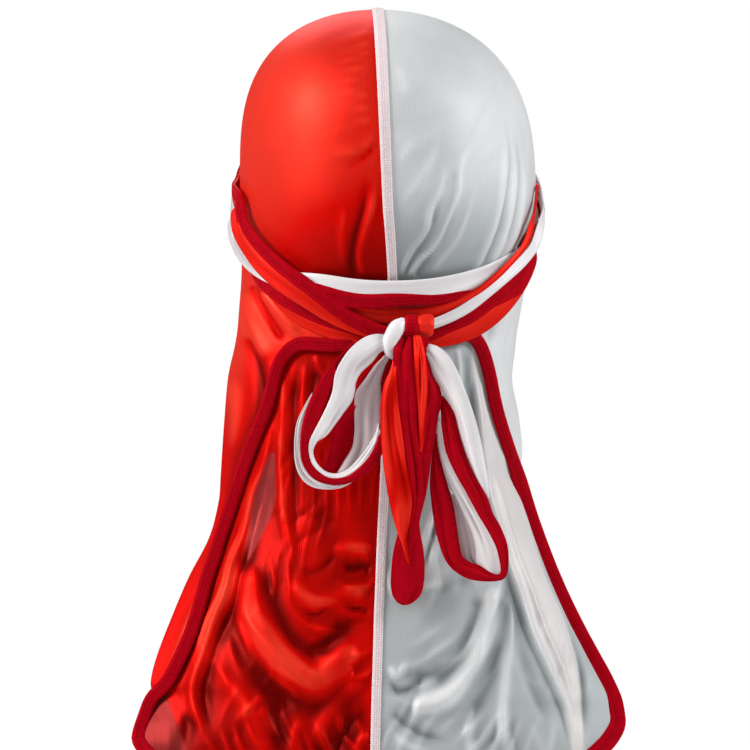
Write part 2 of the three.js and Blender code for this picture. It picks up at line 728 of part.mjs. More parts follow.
const RED = 0xd8150c;
const WHITE = 0xe6eaec;
const CRIMSON = 0x9c0a22;

const wrap = new THREE.Group();
wrap.name = "head_wrap";

function add(name, geometry, color, roughness) {
  const mesh = new THREE.Mesh(geometry, new THREE.MeshStandardMaterial({ color, roughness }));
  mesh.name = name;
  wrap.add(mesh);
}

add("panel_red", panel(-1, denser(EDGE_LEFT, 1)), RED, 0.4);
add("panel_white", panel(1, denser(EDGE_RIGHT, 2)), WHITE, 0.4);
add("center_seam", centreSeam(), WHITE, 0.8);
add("front_binding", frontTape(), CRIMSON, 0.8);
add("tail_binding_left", tailTape(-1, EDGE_LEFT, FOLD_ENDS.left), CRIMSON, 0.8);
add("tail_binding_right", tailTape(1, EDGE_RIGHT, FOLD_ENDS.right), CRIMSON, 0.8);
add("strap_red", strap(STRAP_RED), RED, 0.4);
add("strap_white", strap(STRAP_WHITE), WHITE, 0.4);
add("knot_white", pebble([3, -89.8, -175], [11, 9, 21], 18), WHITE, 0.4);
add("knot_red", pebble([17, -89, -168], [16, 9, 12], 0), RED, 0.4);
add("bow_loop_left", ribbon(LOOP_LEFT), WHITE, 0.4);
add("bow_tail_middle", ribbon(TAIL_MIDDLE), RED, 0.4);
add("bow_loop_right", ribbon(LOOP_RIGHT), WHITE, 0.4);

export default wrap;
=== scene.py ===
import math
import bmesh
import bpy
import numpy as np
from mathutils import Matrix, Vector


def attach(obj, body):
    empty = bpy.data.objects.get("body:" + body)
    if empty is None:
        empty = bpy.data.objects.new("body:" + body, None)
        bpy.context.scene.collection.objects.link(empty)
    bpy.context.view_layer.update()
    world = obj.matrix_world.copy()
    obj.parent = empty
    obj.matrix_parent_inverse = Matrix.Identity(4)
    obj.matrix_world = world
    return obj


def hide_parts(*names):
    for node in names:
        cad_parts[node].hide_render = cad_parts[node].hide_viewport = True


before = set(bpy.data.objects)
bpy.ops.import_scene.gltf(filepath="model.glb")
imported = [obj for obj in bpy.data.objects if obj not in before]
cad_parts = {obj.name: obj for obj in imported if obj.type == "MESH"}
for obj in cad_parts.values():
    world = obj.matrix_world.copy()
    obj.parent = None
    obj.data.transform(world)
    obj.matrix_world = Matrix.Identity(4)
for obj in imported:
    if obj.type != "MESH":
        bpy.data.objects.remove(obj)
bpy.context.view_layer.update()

# The two satin halves.
# Each half is one cut of shiny polyester satin, from the forehead over the crown and nape to the hem
# of the long tail, with the side of the tail folded back outward and held under the straps.
MM = 0.001
CROWN = {"half_width": 78.8, "half_length": 96.5, "middle_z": -100.0, "rise": 100.6}
ROUND = {"plan": 2.15, "side": 2.1, "top": 3.1}
FAN = {"pivot_y": 12.0, "pivot_z": -108.0, "first": 21.0, "last": 180.0}
EAR_AXIS = np.array([0, FAN["pivot_y"], FAN["pivot_z"]])
EAR_ARCH = 13.0
HEM_Z, HEM_RISE = -405.0, {-1: 20.0, 1: 27.0}
SEAM_HALF_GAP = 0.3
HANGS_FROM, HANGS_FREE = -178.0, -262.0
CLOTH_WALL = 0.7
SAMPLES = 96
ROWS = {"crown": 100, "tail": 190, "columns": 120}

# Level sections below the crown: z, left and right half width, seam x, y at seam, y at side
SECTIONS = [
    (-90, 78.8, 78.6, -1.4, -96.5, 0), (-108, 78.8, 78.6, 0, -96.5, 0), (-120, 77.5, 76.5, 1.0, -93, -1),
    (-145, 76.5, 71.5, 2.4, -84, -4), (-165, 77.5, 67.6, 2.0, -77, -9), (-180, 79.0, 65.0, 1.2, -75, -14),
    (-197, 81.8, 62.6, 0.6, -75.5, -19), (-218, 83.6, 66.6, -0.4, -77.5, -27),
    (-236, 84.8, 68.8, -1.2, -79, -32), (-249, 85.6, 67.0, -1.8, -80.5, -35),
    (-262, 86.6, 71.6, -2.4, -82, -38), (-282, 91.8, 78.4, -3.4, -85, -43),
    (-303, 102.6, 86.4, -4.2, -88.5, -49), (-324, 111.6, 96.0, -5.0, -92.5, -55),
    (-345, 119.6, 107.0, -5.6, -97, -62), (-357, 122.4, 113.6, -6.0, -99, -66),
    (-364, 121.6, 117.0, -6.2, -100.5, -68), (-371, 124.2, 118.4, -6.4, -101.5, -70),
    (-380, 128.6, 119.6, -6.6, -103, -73), (-390, 131.4, 119.4, -6.8, -104.4, -76),
    (-410, 130.0, 117.0, -6.9, -106, -80)]
SEAM_OVER_CROWN = [(0, -3), (60, -5.6), (100, -5.6), (130, -4), (155, -2), (180, 0)]


def column(table, index, key):
    """One column of a table, eased between its rows."""
    keys, values = np.array(sorted([row[0], row[index]] for row in table), float).T
    beside = lambda v: np.append(v[1:], v[-1]) - np.insert(v[:-1], 0, v[0])
    slopes = beside(values) / beside(keys)
    key = np.clip(np.asarray(key, float), keys[0], keys[-1])
    i = np.clip(np.searchsorted(keys, key, side="right") - 1, 0, len(keys) - 2)
    span = keys[i + 1] - keys[i]
    f = (key - keys[i]) / span
    return ((2 * f**3 - 3 * f**2 + 1) * values[i] + (f**3 - 2 * f**2 + f) * span * slopes[i]
            + (3 * f**2 - 2 * f**3) * values[i + 1] + (f**3 - f**2) * span * slopes[i + 1])


def finely(rows, count):
    """All columns of the rows, eased between them at close even steps."""
    table = [(i, *row) for i, row in enumerate(rows)]
    return [column(table, k, np.linspace(0, len(rows) - 1, count)) for k in range(1, len(table[0]))]


def smooth(low, high, value):
    """0 up to low, 1 from high on, eased between them."""
    f = np.clip((np.asarray(value, float) - low) / (high - low), 0, 1)
    return f * f * (3 - 2 * f)


def halved(low, high, steps, short):
    """The value up to which `short` stays true, by halving the range."""
    for _ in range(steps):
        middle = (low + high) / 2
        inner = short(middle)
        low, high = np.where(inner, middle, low), np.where(inner, high, middle)
    return (low + high) / 2


def unit(vectors):
    """The same ways at length 1."""
    return vectors / np.maximum(np.linalg.norm(vectors, axis=-1, keepdims=True), 1e-9)


def run_of(points):
    """Length run along a line, at each of its points."""
    return np.insert(np.cumsum(np.linalg.norm(np.diff(points, axis=0), axis=1)), 0, 0)


def read_at(at, run, values):
    """The values of a line's points at other places of its run."""
    return np.stack([np.interp(at, run, part) for part in values.T], -1)


def rounded(values, passes):
    """Round off a row of points in place; the two end ones stay."""
    for _ in range(passes):
        values[1:-1] = (values[:-2] + 2 * values[1:-1] + values[2:]) / 4
    return values


def sheet(side, u, z):
    """Middle of the hanging cloth, without folds: u 0 at the seam, 1 at the side."""
    u, z = np.broadcast_arrays(np.asarray(u, float), np.asarray(z, float))
    half, seam_x, back, edge = (column(SECTIONS, k, z) for k in (1 if side < 0 else 2, 3, 4, 5))
    hangs = smooth(-HANGS_FROM, -HANGS_FREE, -z)
    angle = u * math.pi / 2
    across = np.sin(angle) ** (2 / ROUND["plan"]) * (1 - hangs) + u * hangs
    curve = np.abs(np.cos(angle)) ** (2 / ROUND["plan"]) * (1 - hangs) + (1 - u**3) * hangs
    return np.stack([seam_x * (1 - across) + side * half * across, edge * (1 - curve) + back * curve, z], -1)


def head_reach(direction):
    """Distance from the ear-to-ear axis to the rounded head form."""
    def inside(r):
        x, y, z = (direction * r[:, None] + EAR_AXIS).T
        p = ROUND["plan"]
        plan = (np.abs(x / CROWN["half_width"]) ** p + np.abs(y / CROWN["half_length"]) ** p) ** (1 / p)
        rise = np.maximum(0, z - CROWN["middle_z"]) / CROWN["rise"]
        return plan ** ROUND["side"] + rise ** ROUND["top"] < 1
    nearest, farthest = np.full(len(direction), 10.0), np.full(len(direction), 220.0)
    return halved(nearest, farthest, 34, inside)


def crown_curve(side, degrees):
    """One line over the crown from the seam to the ear, and how far along it each point is."""
    theta = math.radians(degrees)
    f = np.linspace(0, 1, SAMPLES + 1)
    phi = f * (math.pi / 2 - EAR_ARCH / CROWN["half_width"])
    direction = np.stack([side * np.sin(phi), math.cos(theta) * np.cos(phi),
                          math.sin(theta) * np.cos(phi)], -1)
    points = direction * head_reach(direction)[:, None] + EAR_AXIS
    points[:, 0] += (column(SEAM_OVER_CROWN, 1, degrees) + side * SEAM_HALF_GAP) * (1 - smooth(0, 1, f))
    return points, f


def hem_z(side, u):
    """Height of the hem, which rises toward the side."""
    return HEM_Z + HEM_RISE[side] * u**8


def tail_curve(side, fraction):
    """One line across the tail from the seam to the side, level above and along the hem below."""
    last = 1 - EAR_ARCH / CROWN["half_width"] / 1.6
    last += (1 - last) * float(smooth(0, 0.09, fraction))
    u = np.linspace(0, 1, SAMPLES + 1) * last
    points = sheet(side, u, FAN["pivot_z"] * (1 - fraction) + hem_z(side, u) * fraction)
    points[:, 0] += side * SEAM_HALF_GAP * (1 - u)
    return points, u


def evenly(points, extra, count):
    """The same curve at even steps, with a second value carried along."""
    run = run_of(points)
    at = np.linspace(0, run[-1], count)
    return read_at(at, run, points), np.interp(at, run, extra)


def surface_normals(grid, at_back=slice(None)):
    """The ways out of a grid of points, turned so that its part at the back looks backward."""
    normals = unit(np.cross(np.gradient(grid, axis=1), np.gradient(grid, axis=0)))
    return -normals if np.mean(normals[at_back][..., 1]) > 0 else normals


def eased_path(points, steps=7):
    """A smooth line through a few points."""
    p = np.array(points, float)
    p = np.vstack([2 * p[0] - p[1], p, 2 * p[-1] - p[-2]])
    before, here, after, beyond = (p[k:len(p) - 3 + k, None] for k in range(4))
    t = np.linspace(0, 1, steps, endpoint=False)[:, None]
    line = 0.5 * (2 * here + (after - before) * t + (2 * before - 5 * here + 4 * after - beyond) * t**2
                  + (3 * here - before - 3 * after + beyond) * t**3)
    return np.vstack([line.reshape(-1, p.shape[1]), p[-2]])


def uneven(x, z, seed, size):
    """Seeded soft unevenness between about -1 and 1, in patches of roughly the given size."""
    chance = np.random.default_rng(seed)
    total = 0
    for _ in range(8):
        angle, start = chance.uniform(0, 2 * math.pi, 2)
        pace = 2 * math.pi / (size * chance.uniform(1.1, 2.8))
        total = total + np.sin((x * math.cos(angle) + z * math.sin(angle)) * pace + start)
    return total / 3


def swags(side, x, z):
    """Many low narrow folds that hang in bows beside the seam and run steeper toward the hem."""
    away = side * x
    middle = (20, -290, 1.25) if side < 0 else (10, -300, 1.4)
    round_way = np.hypot(away - middle[0], (z - middle[1]) / middle[2]) + 2.4 * uneven(x, z, 31 + side, 22)
    slant = away * 0.8 - (z + 300) * 0.35 + 3 * uneven(x, z, 35 + side, 26)
    steep = away + 0.12 * (z + 250) + 1.6 * uneven(x, z, 41 + side, 30)
    hang = smooth(285, 310, -z) * (1 - smooth(355, 375, -z))
    low, high = smooth(355, 380, -z), smooth(180, 200, -z) * (1 - smooth(280, 305, -z))
    ridge = lambda way, pace: np.exp(-((np.sin(way * math.pi / pace) / 0.5) ** 2)) - 0.4
    some = np.clip(0.55 + 0.8 * uneven(x, z, 47 + side, 24), 0, 1.3)
    return some * (hang * ridge(round_way, 8.4) + low * ridge(slant, 7.6)
                   + (0.7 if side > 0 else 0.4) * high * ridge(steep, 6.4))


def fold_relief(x, z, folds):
    """Ridges and valleys: height, width left of the line, width right of it, fade, line of x, z points."""
    total = np.zeros(x.shape)
    for height, left, right, fade, points in folds:
        line, widest = eased_path(points), max(left, right)
        (x0, z0), (x1, z1) = line.min(0) - 3 * widest, line.max(0) + 3 * widest
        near = (x > x0) & (x < x1) & (z > z0) & (z < z1)
        step = np.diff(line, axis=0)
        away = np.stack([x[near], z[near]], -1)[:, None] - line[:-1]
        f = np.clip(np.sum(away * step, -1) / np.sum(step**2, -1), 0, 1)
        gap = np.linalg.norm(away - f[..., None] * step, axis=-1)
        turn = away[..., 0] * step[:, 1] - away[..., 1] * step[:, 0]
        i = np.argmin(gap, 1)[:, None]
        gap, f, turn = (np.take_along_axis(v, i, 1)[:, 0] for v in (gap, f, turn))
        place = (i[:, 0] + f) / len(step)
        ends = smooth(0, fade[0], place) * smooth(0, fade[1], 1 - place)
        full = 2.0 if widest > 3.4 else 1.5
        total[near] += height * ends * np.exp(-((gap / np.where(turn < 0, right, left)) ** full))
    return total


def placed(name, data):
    """A new object in the scene."""
    thing = bpy.data.objects.new(name, data)
    bpy.context.collection.objects.link(thing)
    return thing


def cloth_grid(name, points, uv, masks=(), flip=False):
    """A bmesh grid whose vertices are moved onto the given rows and columns of points."""
    rows, columns = points.shape[:2]
    bm = bmesh.new()
    layer = bm.loops.layers.uv.new("UVMap")
    bmesh.ops.create_grid(bm, x_segments=columns - 1, y_segments=rows - 1, size=0.5)
    bm.verts.ensure_lookup_table()
    place = [(round((v.co.y + 0.5) * (rows - 1)), round((v.co.x + 0.5) * (columns - 1))) for v in bm.verts]
    for vert, spot in zip(bm.verts, place):
        vert.co = Vector(points[spot]) * MM
    for face in bm.faces:
        face.smooth = True
        for loop in face.loops:
            loop[layer].uv = uv[place[loop.vert.index]]
    if flip:
        bmesh.ops.reverse_faces(bm, faces=bm.faces)
    mesh = bpy.data.meshes.new(name)
    bm.to_mesh(mesh)
    bm.free()
    for key, values in dict(masks).items():
        mask = mesh.attributes.new(key, "FLOAT", "POINT")
        mask.data.foreach_set("value", [float(values[spot]) for spot in place])
    return placed(name, mesh)


def lengths_uv(points):
    """UV in metres across and along the piece."""
    across = np.insert(np.cumsum(np.linalg.norm(np.diff(points, axis=1), axis=2), axis=1), 0, 0, axis=1)
    down = run_of(points[:, points.shape[1] // 2])
    return np.stack([across, np.broadcast_to(down[:, None], across.shape)], -1) * MM


def thicken(piece, wall):
    """Give a sheet the wall of its cloth, half to each side."""
    solid = piece.modifiers.new("cloth", "SOLIDIFY")
    solid.thickness, solid.offset, solid.use_even_offset = wall * MM, 0, False


# Folds seen on the red half. Columns as fold_relief reads them.
RED_FOLDS = [
    (2.0, 3.2, 1.2, (0.2, 0.15), [(-60, -205), (-63, -232), (-69.4, -258), (-75.6, -281), (-83.7, -305),
        (-90.8, -326), (-98, -346), (-101, -360), (-100, -372), (-96, -387)]),
    (-1.8, 1.4, 4.0, (0.45, 0.2), [(-58, -215), (-62, -240), (-66, -260), (-72, -284), (-79, -306),
        (-86, -326), (-93, -346), (-96, -360), (-95, -372), (-91, -387)]),
    (1.0, 1.4, 1.4, (0.3, 0.3), [(-72, -262), (-80, -286), (-88, -308), (-97, -332), (-104, -352)]),
    (1.5, 2.0, 2.6, (0.15, 0.4), [(-54, -190), (-55.5, -210), (-57, -232), (-56, -256), (-54, -282),
        (-52, -300)]),
    (-1.5, 2.2, 2.6, (0.15, 0.4), [(-49, -192), (-50, -212), (-50.5, -236), (-49, -262), (-47, -285)]),
    (1.3, 1.8, 2.2, (0.2, 0.5), [(-45, -188), (-44.5, -206), (-46, -224), (-45, -244)]),
    (1.2, 1.2, 1.4, (0.2, 0.4), [(-39, -184), (-35.5, -192), (-31, -200)]),
    (-1.2, 2.0, 2.0, (0.2, 0.4), [(-37, -190), (-39, -204), (-41, -222)]),
    (2.5, 8.5, 6.0, (0.15, 0.1), [(-74, -290), (-73.5, -300), (-71.5, -313), (-65.4, -330), (-55, -344),
        (-45, -351.5), (-35, -353.5), (-27, -348), (-21, -342), (-13, -344)]),
    (-1.8, 5.0, 4.0, (0.2, 0.15), [(-65.4, -291), (-62, -311), (-54, -327), (-44, -337.5), (-33.5, -338),
        (-24, -330), (-14, -325)]),
    (1.5, 4.5, 4.0, (0.2, 0.15), [(-50, -296), (-47, -308), (-38, -314), (-26, -311), (-17, -308),
        (-8.5, -311)]),
    (-1.6, 3.0, 2.6, (0.3, 0.2), [(-24, -297), (-16, -296), (-8.5, -296)]),
    (1.3, 4.0, 3.6, (0.3, 0.2), [(-30, -288), (-20, -285.5), (-9, -287)]),
    (-0.8, 1.0, 1.3, (0.2, 0.2), [(-46, -318), (-38, -321), (-30, -316), (-20, -318), (-10, -316)]),
    (-0.8, 1.0, 1.3, (0.2, 0.2), [(-44, -324), (-34, -327), (-26, -322), (-17, -325), (-9, -323)]),
    (-1.0, 1.2, 3.0, (0.2, 0.2), [(-27, -287), (-33, -294), (-40, -298), (-46, -296)]),
    (0.8, 1.2, 2.0, (0.2, 0.4), [(-56, -242), (-54.5, -262), (-51, -282), (-49, -300)]),
    (-1.0, 1.4, 1.8, (0.3, 0.2), [(-24, -319), (-16, -318), (-8.5, -320)]),
    (1.2, 2.0, 2.0, (0.3, 0.3), [(-42, -324), (-34, -327), (-26, -322), (-18, -325)]),
    (-1.8, 6.5, 6.5, (0.2, 0.15), [(-86, -312), (-78, -338), (-62, -358), (-46, -366), (-31, -366),
        (-15, -356)]),
    (1.4, 3.6, 3.6, (0.2, 0.2), [(-12, -352), (-25, -365), (-34.8, -376.6), (-41, -391)]),
    (1.3, 4.5, 4.5, (0.2, 0.2), [(-92, -340), (-84, -356), (-75.6, -368), (-66, -384), (-60, -400)]),
    (1.0, 1.6, 1.6, (0.3, 0.3), [(-66, -362), (-72, -370), (-80, -377)]),
    (-1.2, 4.0, 4.0, (0.2, 0.2), [(-54, -358), (-58, -374), (-54, -392)]),
    (1.2, 2.0, 2.4, (0.3, 0.3), [(-46, -372), (-50, -386), (-48, -402)]),
    (-1.4, 2.4, 2.6, (0.3, 0.2), [(-8, -368), (-20, -378), (-27, -392), (-29, -403)]),
    (1.0, 2.0, 2.0, (0.3, 0.2), [(-7.5, -380), (-15, -390), (-18, -402)]),
    (-1.4, 4.0, 5.0, (0.2, 0.2), [(-104, -372), (-108, -386), (-112, -402)]),
    (1.6, 2.4, 1.6, (0.3, 0.2), [(-6, -92), (-8, -106), (-12, -118), (-15, -132), (-12, -146)]),
    (-1.6, 2.0, 3.0, (0.3, 0.2), [(-11, -88), (-13, -106), (-17, -120), (-19, -134), (-17, -146)]),
    (0.9, 2.0, 2.0, (0.3, 0.3), [(-22, -104), (-24, -120), (-23, -138)]),
    (0.8, 1.6, 1.4, (0.3, 0.4), [(-5, -66), (-12, -74), (-22, -78), (-32, -77)]),
    (-0.8, 1.6, 1.4, (0.3, 0.4), [(-5, -72), (-14, -81), (-24, -84)]),
]
SEAM_PUCKERS = [(0.8, 1.5, 1.2, (0.15, 0.75), [(-8.5, z), (-20, z - 3.4), (-32, z - 5.5)])
                for z in (-14, -20, -25, -31, -36, -42, -47, -53, -60)]

# Folds seen on the white half
WHITE_FOLDS = [
    (1.5, 1.3, 1.6, (0.1, 0.1), [(44.7, -186), (46.5, -205), (48.5, -222), (53.5, -256), (61, -285),
        (65.5, -301), (73.5, -321.5), (83.5, -346), (93.6, -370), (97, -388)]),
    (-1.2, 2.4, 1.0, (0.1, 0.1), [(42, -190), (44, -206), (46, -223), (51, -257), (58.5, -286), (63, -302),
        (71, -323), (81, -348), (91, -372), (94, -390)]),
    (-1.3, 1.2, 2.0, (0.2, 0.15), [(66, -250), (73, -268.5), (83.5, -301), (93.6, -325.6), (100.8, -348),
        (102, -366), (103, -387)]),
    (0.9, 1.2, 1.2, (0.2, 0.2), [(52, -226), (60, -262), (68, -290), (80, -320), (92, -350), (99, -378)]),
    (2.4, 5.5, 3.6, (0.15, 0.08), [(57, -303), (55, -313), (52.5, -322), (46.8, -340), (38.6, -354),
        (30, -364.5), (18, -369.5), (12, -369)]),
    (-1.5, 4.5, 5.0, (0.15, 0.2), [(48, -308), (46, -322), (40, -338), (30, -350), (18, -359)]),
    (-1.2, 4.0, 4.5, (0.2, 0.2), [(61, -302), (61, -322), (56, -344), (48, -364), (38, -380)]),
    (1.2, 2.4, 2.4, (0.2, 0.2), [(66, -306), (66, -330), (62, -352), (60, -374), (64, -398)]),
    (-1.0, 3.0, 4.5, (0.2, 0.2), [(66, -310), (70, -334), (76, -358), (85, -380)]),
    (1.6, 1.6, 1.6, (0.3, 0.3), [(1.5, -346), (5, -353), (10.5, -345)]),
    (-1.6, 2.2, 2.2, (0.3, 0.3), [(1.5, -353), (6, -361), (14, -358), (20, -350)]),
    (-1.6, 2.0, 2.6, (0.2, 0.3), [(1.5, -370), (8, -377), (18, -383), (32, -384)]),
    (1.4, 2.0, 2.0, (0.3, 0.3), [(2, -380), (10, -388), (22, -392)]),
    (1.2, 2.4, 2.4, (0.3, 0.3), [(44, -366), (42, -382), (46, -400)]),
    (1.4, 1.4, 1.6, (0.2, 0.4), [(25, -262), (20, -280), (14, -297)]),
    (1.0, 1.4, 1.6, (0.2, 0.4), [(30, -262), (26, -284), (20, -304)]),
    (-1.2, 1.6, 1.6, (0.2, 0.4), [(27.5, -262), (23, -282), (17, -300)]),
    (1.0, 1.6, 1.6, (0.3, 0.3), [(12, -302), (20, -306), (30, -303)]),
    (1.2, 1.6, 1.6, (0.1, 0.4), [(36, -180), (38, -196), (36, -212)]),
    (-0.8, 2.4, 2.4, (0.1, 0.4), [(41, -182), (43, -205), (45, -226)]),
    (1.6, 1.5, 1.3, (0.1, 0.3), [(6, -143), (11, -131), (19, -120), (22, -109), (27, -97), (30, -82)]),
    (-1.3, 1.5, 1.5, (0.1, 0.35), [(8, -143), (14, -131), (22, -119), (25, -106), (29, -96)]),
    (1.9, 1.7, 1.4, (0.1, 0.3), [(10, -144), (15, -135), (24, -127), (31, -113), (36, -99), (38, -84),
        (46, -70)]),
    (-1.3, 1.4, 1.6, (0.1, 0.35), [(13, -144), (20, -134), (28, -123), (34, -108), (38, -94)]),
    (1.0, 1.3, 1.3, (0.2, 0.4), [(21, -142), (27, -134), (35, -124), (42, -108), (48, -90)]),
    (0.8, 1.8, 1.8, (0.3, 0.5), [(7, -104), (14, -96), (22, -82), (27, -66)]),
    (0.7, 1.8, 1.8, (0.3, 0.5), [(5, -84), (10, -76), (15, -68)]),
    (1.5, 1.3, 1.6, (0.35, 0.1), [(59, -54), (62, -76), (60, -98), (55, -118), (47, -136), (40, -146)]),
    (1.5, 1.2, 1.5, (0.35, 0.1), [(64, -60), (67, -84), (65, -106), (60, -124), (52, -140)]),
    (1.3, 1.2, 1.4, (0.35, 0.1), [(69, -66), (72, -90), (70, -110), (65, -126), (58, -138)]),
    (-1.2, 1.2, 1.2, (0.35, 0.1), [(61, -56), (64.5, -80), (62.5, -102), (57.5, -121), (49.5, -138)]),
    (-1.0, 1.0, 1.0, (0.35, 0.1), [(66, -62), (69.5, -87), (67.5, -108), (62.5, -125)]),
    (0.7, 3.0, 3.0, (0.3, 0.3), [(3, -30), (8, -40), (8, -50)]),
]


def small_creases(seed, count, x_range, z_range, lean, height, width):
    """Short soft creases scattered over one part of the cloth; lean is the way most of them run."""
    chance = np.random.default_rng(seed)
    out = []
    for _ in range(count):
        x, z = chance.uniform(*x_range), chance.uniform(*z_range)
        angle = math.radians(lean + chance.normal(0, 20))
        length, bend = chance.uniform(16, 44), chance.normal(0, 2.4)
        dx, dz = math.cos(angle) * length / 2, math.sin(angle) * length / 2
        wide = chance.uniform(*width)
        up = chance.uniform(*height) * chance.choice([-1, 1])
        aside_x, aside_z = -dz / length * bend * 2, dx / length * bend * 2
        out.append((up, wide, wide * chance.uniform(0.6, 1.2), (0.4, 0.4),
                    [(x + dx, z + dz), (x + aside_x, z + aside_z), (x - dx, z - dz)]))
    return out


RED_CREASES = (small_creases(3, 22, (-60, -8), (-262, -190), 84, (0.2, 0.5), (1.4, 2.6))
               + small_creases(4, 20, (-62, -6), (-345, -262), 20, (0.15, 0.45), (1.6, 3.2))
               + small_creases(5, 22, (-95, -6), (-402, -340), 60, (0.15, 0.45), (1.8, 3.6))
               + small_creases(6, 12, (-84, -66), (-330, -250), 78, (0.1, 0.3), (1.4, 2.4)))
WHITE_CREASES = (small_creases(7, 20, (6, 48), (-300, -200), 70, (0.2, 0.5), (1.4, 2.6))
                 + small_creases(8, 18, (4, 60), (-402, -300), 40, (0.15, 0.4), (1.6, 3.2))
                 + small_creases(9, 16, (60, 105), (-400, -300), 104, (0.2, 0.5), (1.4, 2.6))
                 + small_creases(10, 16, (4, 60), (-135, -60), 55, (0.15, 0.3), (1.4, 3.0)))


def panel_points(side):
    """The half without folds: rows fanned over the crown, then rows down the tail, rounded in between."""
    curves = [crown_curve(side, degrees) for degrees in np.linspace(FAN["first"], FAN["last"], ROWS["crown"])]
    curves += [tail_curve(side, fraction) for fraction in np.linspace(0, 1, ROWS["tail"])[1:]]
    grid, us = (np.array(part) for part in zip(*(evenly(*curve, ROWS["columns"]) for curve in curves)))
    for width in (16, 12, 8):
        rounded(grid[ROWS["crown"] - width - 1:ROWS["crown"] + width + 1], 6)
    return grid, us


# Places where only one thin layer hangs: height, left and right x
SHEER = {
    -1: [
        [(-236, -62, -59.7), (-247, -66, -59.2), (-260, -70, -59.3), (-277, -73.5, -65.4),
         (-286, -74.5, -70.5), (-291, -74.6, -73.6)],
        [(-363, -118, -117), (-374, -127, -113), (-385, -131, -109), (-396, -131, -104)],
    ],
    1: [
        [(-178, 43.7, 47), (-200, 46, 53), (-222, 48, 58), (-242, 51, 65.5), (-268, 55.5, 73),
         (-301, 65.5, 83.4), (-325, 75, 93.6), (-348, 84.4, 100.8), (-366, 92, 102), (-398, 97.5, 103)],
    ],
}


def sheer_places(side, x, z):
    """1 where one thin layer hangs, 0 elsewhere."""
    total = np.zeros(x.shape)
    for rows in SHEER[side]:
        left, right = column(rows, 1, z), column(rows, 2, z)
        total += (smooth(left - 1, left + 1, x) * (1 - smooth(right - 1, right + 1, x))
                  * (z < rows[0][0]) * (z > rows[-1][0]))
    return total


def shade_of(side, x, z, relief):
    """Painted shade mask: painted highlight up the outer crown and on ridges, painted shade lower down and in
    valleys.
    """
    away, down = np.abs(x), -z
    low = smooth(80, 150, down)
    if side < 0:
        crown = (0.26 + 0.62 * low * (1 - smooth(20, 76, away))
                 - 0.26 * smooth(12, 50, away) * (1 - smooth(70, 130, down)))
        tail = (0.68 - 0.07 * smooth(290, 325, down) + 0.13 * smooth(335, 375, down)
                + 0.13 * uneven(1.7 * x + 0.3 * z, 0.8 * z, 61, 26))
    else:
        crown = (0.24 + 0.56 * low * (1 - smooth(40, 78, away))
                 - 0.22 * smooth(24, 60, away) * (1 - smooth(60, 130, down)))
        tail = 0.56
    hangs = smooth(150, 185, down)
    return np.clip(crown * (1 - hangs) + tail * hangs - np.clip(relief * 0.28, -0.5, 0.5), 0, 1)


def relieved(side, grid, us, folds):
    """The folds stand out along the cloth's own direction, and fade toward the seam and the side."""
    normals = surface_normals(grid, grid[..., 1] < -60)
    x, z = grid[..., 0], grid[..., 2]
    hangs = smooth(180, 225, -z)
    drift_x, drift_z = (0.9 * hangs * uneven(x, z, seed, 30) for seed in (21, 22))
    relief = fold_relief(x + drift_x, z + drift_z, folds)
    relief *= 1 + hangs * ((0.3 if side > 0 else 0.05) + 0.35 * uneven(x, z, 23, 24))
    beside = smooth(0.6, 0.75, us) if side < 0 else smooth(0.45, 0.7, us)
    relief += 1.1 * swags(side, x, z) * (1 - 0.75 * beside)
    relief *= smooth(-10, 5, -grid[..., 1]) * smooth(0.0, 0.05, us) * (1 - smooth(0.9, 1.0, us))
    sheer = sheer_places(side, x, z)
    # Painted shade on the thin layer in the lower left corner, whose sheer colour is also halved there.
    corner = (side < 0) * smooth(358, 364, -z)
    masks = {"shade": np.clip(shade_of(side, x, z, relief) + 0.7 * sheer * corner, 0, 1),
             "sheer": sheer * (1 - 0.5 * corner)}
    return grid + normals * relief[..., None], masks


# Free edge of the folded-back side: fold z, tape x, tape z
EDGE = {
    -1: [
        (-127, -14, -176), (-139, -24, -178.5), (-150, -36, -178.5), (-163, -47, -178.0),
        (-176, -54.5, -183.5), (-188, -58.8, -192), (-206, -63.6, -210), (-222, -70, -226),
        (-238, -75.8, -241), (-254, -80.6, -256), (-268, -84.3, -268), (-282, -89, -282), (-292, -91.4, -291),
        (-304, -95.7, -303), (-320, -100, -319), (-334, -104.6, -333), (-347, -110.8, -347),
        (-357, -116.6, -358), (-366, -122.6, -367)],
    1: [
        (-128, 34, -168), (-140, 40, -172), (-152, 45.5, -174), (-170, 50, -181), (-186, 53.6, -193),
        (-204, 56.6, -209), (-218, 60.2, -222), (-230, 65.0, -236), (-244, 68.2, -245)],
}
LAPEL = {"offset": 3.3, "pinned": 2.1, "columns": 44}
TAPE = {"width": 7.4, "thickness": 2.2, "off": 0.7, "over_fold": 1.6, "over_tail": 2.0, "over_front": 1.2,
        "step": 2.2, "front_step": 2.5}


def lift(side, z):
    """Distance of the folded-back cloth from the cloth behind it."""
    z = np.asarray(z, float)
    return (LAPEL["pinned"] + (LAPEL["offset"] - LAPEL["pinned"]) * smooth(168, 196, -z)
            - 1.1 * (1 - smooth(128, 158, -z)) - (side > 0) * 1.1 * smooth(205, 245, -z))


def sheet_normal(side, u, z):
    """The way the outer face of the hanging cloth looks."""
    u = np.clip(u, 0.004, 0.996)
    normal = unit(np.cross(sheet(side, u + 0.004, z) - sheet(side, u - 0.004, z),
                           sheet(side, u, z - 0.8) - sheet(side, u, z + 0.8)))
    return np.where(np.sum(normal * [side * 0.8, -1, 0.05], -1, keepdims=True) < 0, -normal, normal)


def stood_off(side, u, z, off):
    """Points at a distance from the hanging cloth, over the given places on it."""
    return sheet(side, u, z) + sheet_normal(side, u, z) * off[:, None]


